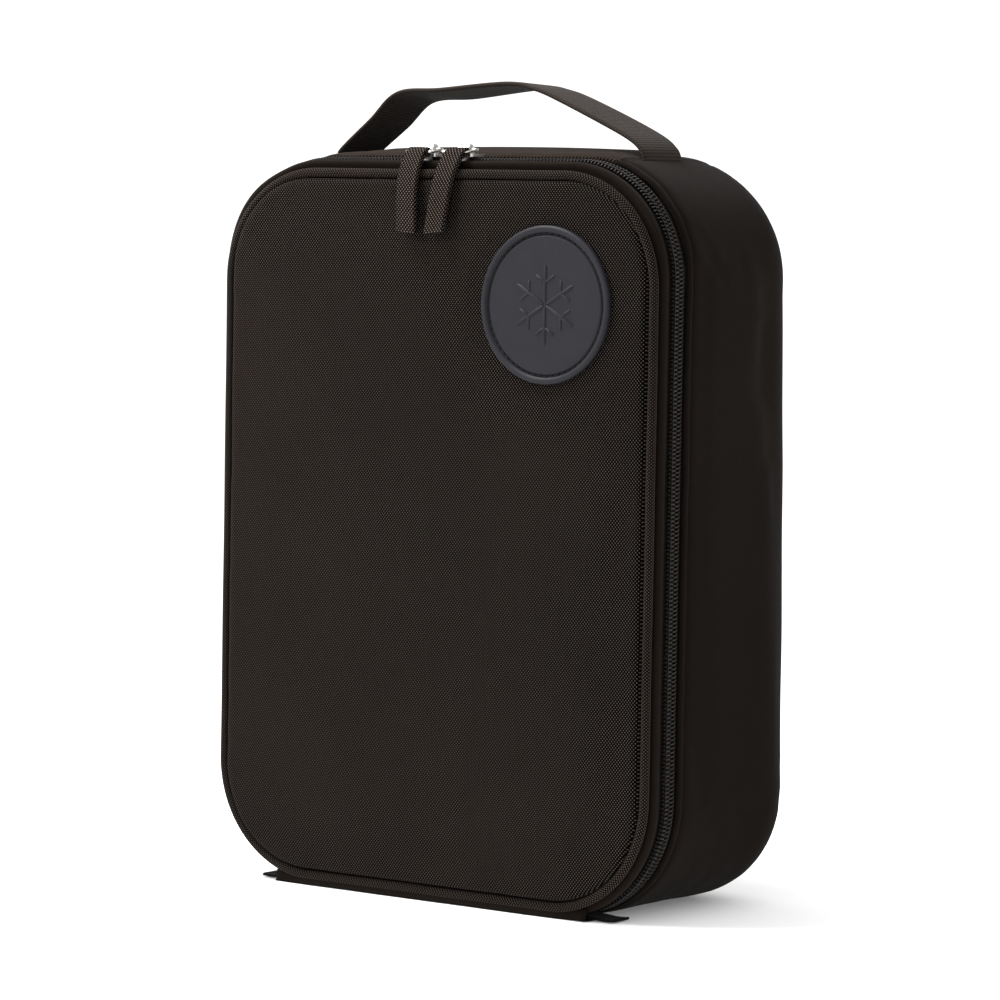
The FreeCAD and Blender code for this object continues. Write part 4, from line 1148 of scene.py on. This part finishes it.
def build_seam_binding():
    """The bound seam that stands into the bag where the side and back linings meet."""
    path = body_path(2.6 * MM)
    box_low, box_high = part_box("liner_binding")
    middle, half = (box_low.y + box_high.y) / 2, (box_high.y - box_low.y) / 2
    root, bend, tip = -WALL + 0.5 * MM, -WALL - 1.5 * MM, -WALL - 5 * MM + half
    profile = [(root, middle - half * 0.8), (bend, middle - half), (tip, middle - half)]
    profile += [(tip - half * math.sin(a), middle - half * math.cos(a)) for a in np.linspace(0.3, 2.8, 6)]
    profile += [(tip, middle + half), (bend, middle + half), (root, middle + half * 0.8)]
    binding = sweep("seam_binding", path, profile, BINDING, flip=True, wobble=0.15 * MM)
    fit(binding, "bag_body", "binding", "liner_binding")


def build_lid_inside():
    """The lid's lining, softly padded, with binding tape over its seam."""
    path = chain_path(3 * MM)
    back = LID_BACK + LINING
    edge = TAPE_THICK + 0.15 * MM
    turned_in = in_mm([(0.0, 0.0), (-0.45, 0.1), (-0.6, -0.4)], -edge, high("lid_liner").y)
    turned_in += in_mm([(-0.7, 0.6), (-1.2, 0.05)], -edge, back)
    rows = [path.at(outward, y) for outward, y in turned_in]
    x, _, z = rows[-1].T
    t_rows = np.linspace(0.03, 1, 26)
    rows += [drawn_in(path, x, z, t, back) for t in t_rows]
    points = np.stack(rows)
    soft = np.clip(np.concatenate([np.zeros(len(turned_in)), t_rows * 4]), 0, 1)[:, None]
    points[..., 1] += (crease(points, 0.28 * MM) - 0.1 * MM) * soft
    liner = grid("lid_lining", points, face_flat(points), True, LINING_FILM)
    fit(liner, "lid", "lining", "lid_liner")

    outer = edge + LINING + 0.1 * MM
    profile = in_mm([(0.0, 0.2), (-0.1, 0.7), (-0.5, 1.0), (-1.5, 1.1), (-3.5, 1.05), (-4.6, 0.85),
                     (-5.0, 0.1)], -outer, back)
    path = chain_path(2.5 * MM)
    binding = sweep("lid_seam_binding", path, profile, BINDING, flip=True, wobble=0.1 * MM)
    fit(binding, "lid", "binding", "lid_binding")


def build_pocket():
    """A net pocket of real holes, with a gathered elastic along its top."""
    box_low, box_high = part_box("mesh_pocket")
    y = (box_low.y + box_high.y) / 2
    cell = 2.1 * MM
    step_x, step_z = cell * math.sqrt(3), cell * 1.5
    hole = 0.72
    corner = 34 * MM
    verts, faces, seen = [], [], {}
    grain = 0.02 * MM

    def vertex(x, z):
        key = (round(x / grain), round(z / grain))
        if key not in seen:
            seen[key] = len(verts)
            ripple = 0.25 * MM * math.sin(x / (9 * MM)) * max(0.0, (z - 0.1) / 0.05)
            verts.append((x, y + ripple, z))
        return seen[key]

    row = 0
    z = box_low.z + cell
    while z < box_high.z - cell:
        x = box_low.x + cell + (row % 2) * step_x / 2
        while x < box_high.x - cell:
            inset_x = max(0.0, abs(x) - (box_high.x - corner))
            inset_z = max(0.0, box_low.z + corner - z)
            if math.hypot(inset_x, inset_z) < corner - cell:
                outer, inner = [], []
                for k in range(6):
                    a = math.radians(60 * k + 30)
                    outer.append(vertex(x + cell * math.cos(a), z + cell * math.sin(a)))
                    inner.append(vertex(x + hole * cell * math.cos(a), z + hole * cell * math.sin(a)))
                for k in range(6):
                    n = (k + 1) % 6
                    faces.append((outer[k], outer[n], inner[n], inner[k]))
            x += step_x
        z += step_z
        row += 1
    flat = [(verts[k][0], verts[k][2]) for face in faces for k in face]
    net = new_object("pocket_net", verts, faces, [False] * len(faces), NET, flat)
    thicken(net, 0.35 * MM, -1)
    fit(net, "lid", "mesh", "mesh_pocket")
    build_pocket_edge(box_low, box_high, y, corner)


def build_pocket_edge(box_low, box_high, y, corner):
    """Elastic along the pocket's top and tape round its other edges."""
    elastic_low, elastic_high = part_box("mesh_pocket_elastic")
    xs = np.linspace(box_low.x, box_high.x, 130)
    gather = 0.3 * MM * np.sin(xs / (1.6 * MM))
    middle = (elastic_low.y + elastic_high.y) / 2
    profile = in_mm([(-0.5, 0.0), (0.35, 0.5), (0.5, 3.0), (0.35, 6.0)], middle, elastic_low.z)
    profile += in_mm([(0.5, -3.0), (0.35, -0.5), (-0.5, 0.0)], middle, elastic_high.z)
    free = [0 < k < len(profile) - 1 for k in range(len(profile))]
    points = np.stack([np.stack([xs, a + gather * loose, b + 0 * xs], 1)
                       for loose, (a, b) in zip(free, profile)])
    flat = places(xs, distances(profile))[..., ::-1]
    elastic = grid("pocket_elastic", points, flat, False, BINDING)
    half = box_high.x - 1.5 * MM
    floor_z = box_low.z + 1.5 * MM
    turn = np.radians(np.linspace(180, 270, 14))
    turn_x, turn_z = corner - half, floor_z + corner
    left = [(turn_x + corner * math.cos(a), y, turn_z + corner * math.sin(a)) for a in turn]
    right = [(-x, y, z) for x, _, z in left[::-1]]
    line = np.array([(-half, y, box_high.z - 1 * MM)] + left + right + [(half, y, box_high.z - 1 * MM)])
    s = distances(line)
    line = read_line(np.linspace(0, s[-1], 170), s, line)
    inward = np.cross(unit(np.gradient(line, axis=0)), [[0.0, 1.0, 0.0]])
    tape = strap("pocket_tape", line, inward, 5 * MM, 0.9 * MM, BINDING)
    edge = joined("pocket_elastic", [elastic, tape])
    fit(edge, "lid", "binding", "mesh_pocket_elastic")


# ---- studio


def build_studio():
    """A pale floor under a key light from the front left, a softer one from above and a white sky."""
    half = 40
    xs = np.linspace(-half, half, 9)
    points = np.stack([np.stack([xs, y + 0 * xs, 0 * xs], 1) for y in xs])
    floor = grid("floor", points, places(xs, xs), False, painted_floor())

    world = bpy.data.worlds.new("studio")
    bpy.context.scene.world = world
    world.use_nodes = True
    sky = world.node_tree.nodes["Background"]
    sky.inputs["Color"].default_value = (1.0, 1.0, 1.0, 1.0)
    sky.inputs["Strength"].default_value = 1.2

    lights = [("key", (-0.6, -0.85, 0.8), 0.18, 8.0), ("top", (-0.3, -0.17, 0.85), 0.4, 11.0)]
    target = Vector((0, 0, 0.14))
    for name, place, width, power in lights:
        data = bpy.data.lights.new(name, "AREA")
        data.shape = "DISK"
        data.size = width
        data.energy = power
        lamp = bpy.data.objects.new(name, data)
        lamp.location = place
        lamp.rotation_mode = "QUATERNION"
        lamp.rotation_quaternion = (target - Vector(place)).to_track_quat("-Z", "Y")
        bpy.context.scene.collection.objects.link(lamp)


def build_camera():
    """A long lens from the front right, a little above the middle of the bag."""
    azimuth, elevation, roll = math.radians(36.99), math.radians(3.72), math.radians(0.99)
    target = Vector((0.03267, -0.050, 0.15578))
    back = Vector((math.sin(azimuth) * math.cos(elevation), -math.cos(azimuth) * math.cos(elevation),
                   math.sin(elevation)))
    right = Vector((math.cos(azimuth), math.sin(azimuth), 0))
    up = back.cross(right)
    data = bpy.data.cameras.new("camera")
    data.lens = 158.58
    data.sensor_width = 36
    data.clip_end = 200
    camera = bpy.data.objects.new("camera", data)
    x_axis = right * math.cos(roll) + up * math.sin(roll)
    y_axis = up * math.cos(roll) - right * math.sin(roll)
    camera.rotation_mode = "QUATERNION"
    turn = np.array([x_axis, y_axis, back]).T
    distance = 1.6578
    place = target + back * distance
    camera.matrix_world = Matrix([[*turn[k], place[k]] for k in range(3)] + [[0, 0, 0, 1]])
    bpy.context.scene.collection.objects.link(camera)
    bpy.context.scene.camera = camera


build_camera()
build_studio()
body_field = simulate_body()
build_gusset(body_field)
build_back(body_field)
build_front_panel(simulate_panel())
build_piping()
build_band()
build_hinge_strip()
build_zip()
build_hardware()
for side in ("left", "right"):
    build_pull(side)
    build_end_tab(side)
build_handle()
build_badge()
build_liner()
build_seam_binding()
build_lid_inside()
build_pocket()
bpy.context.scene.view_settings.view_transform = "Standard"
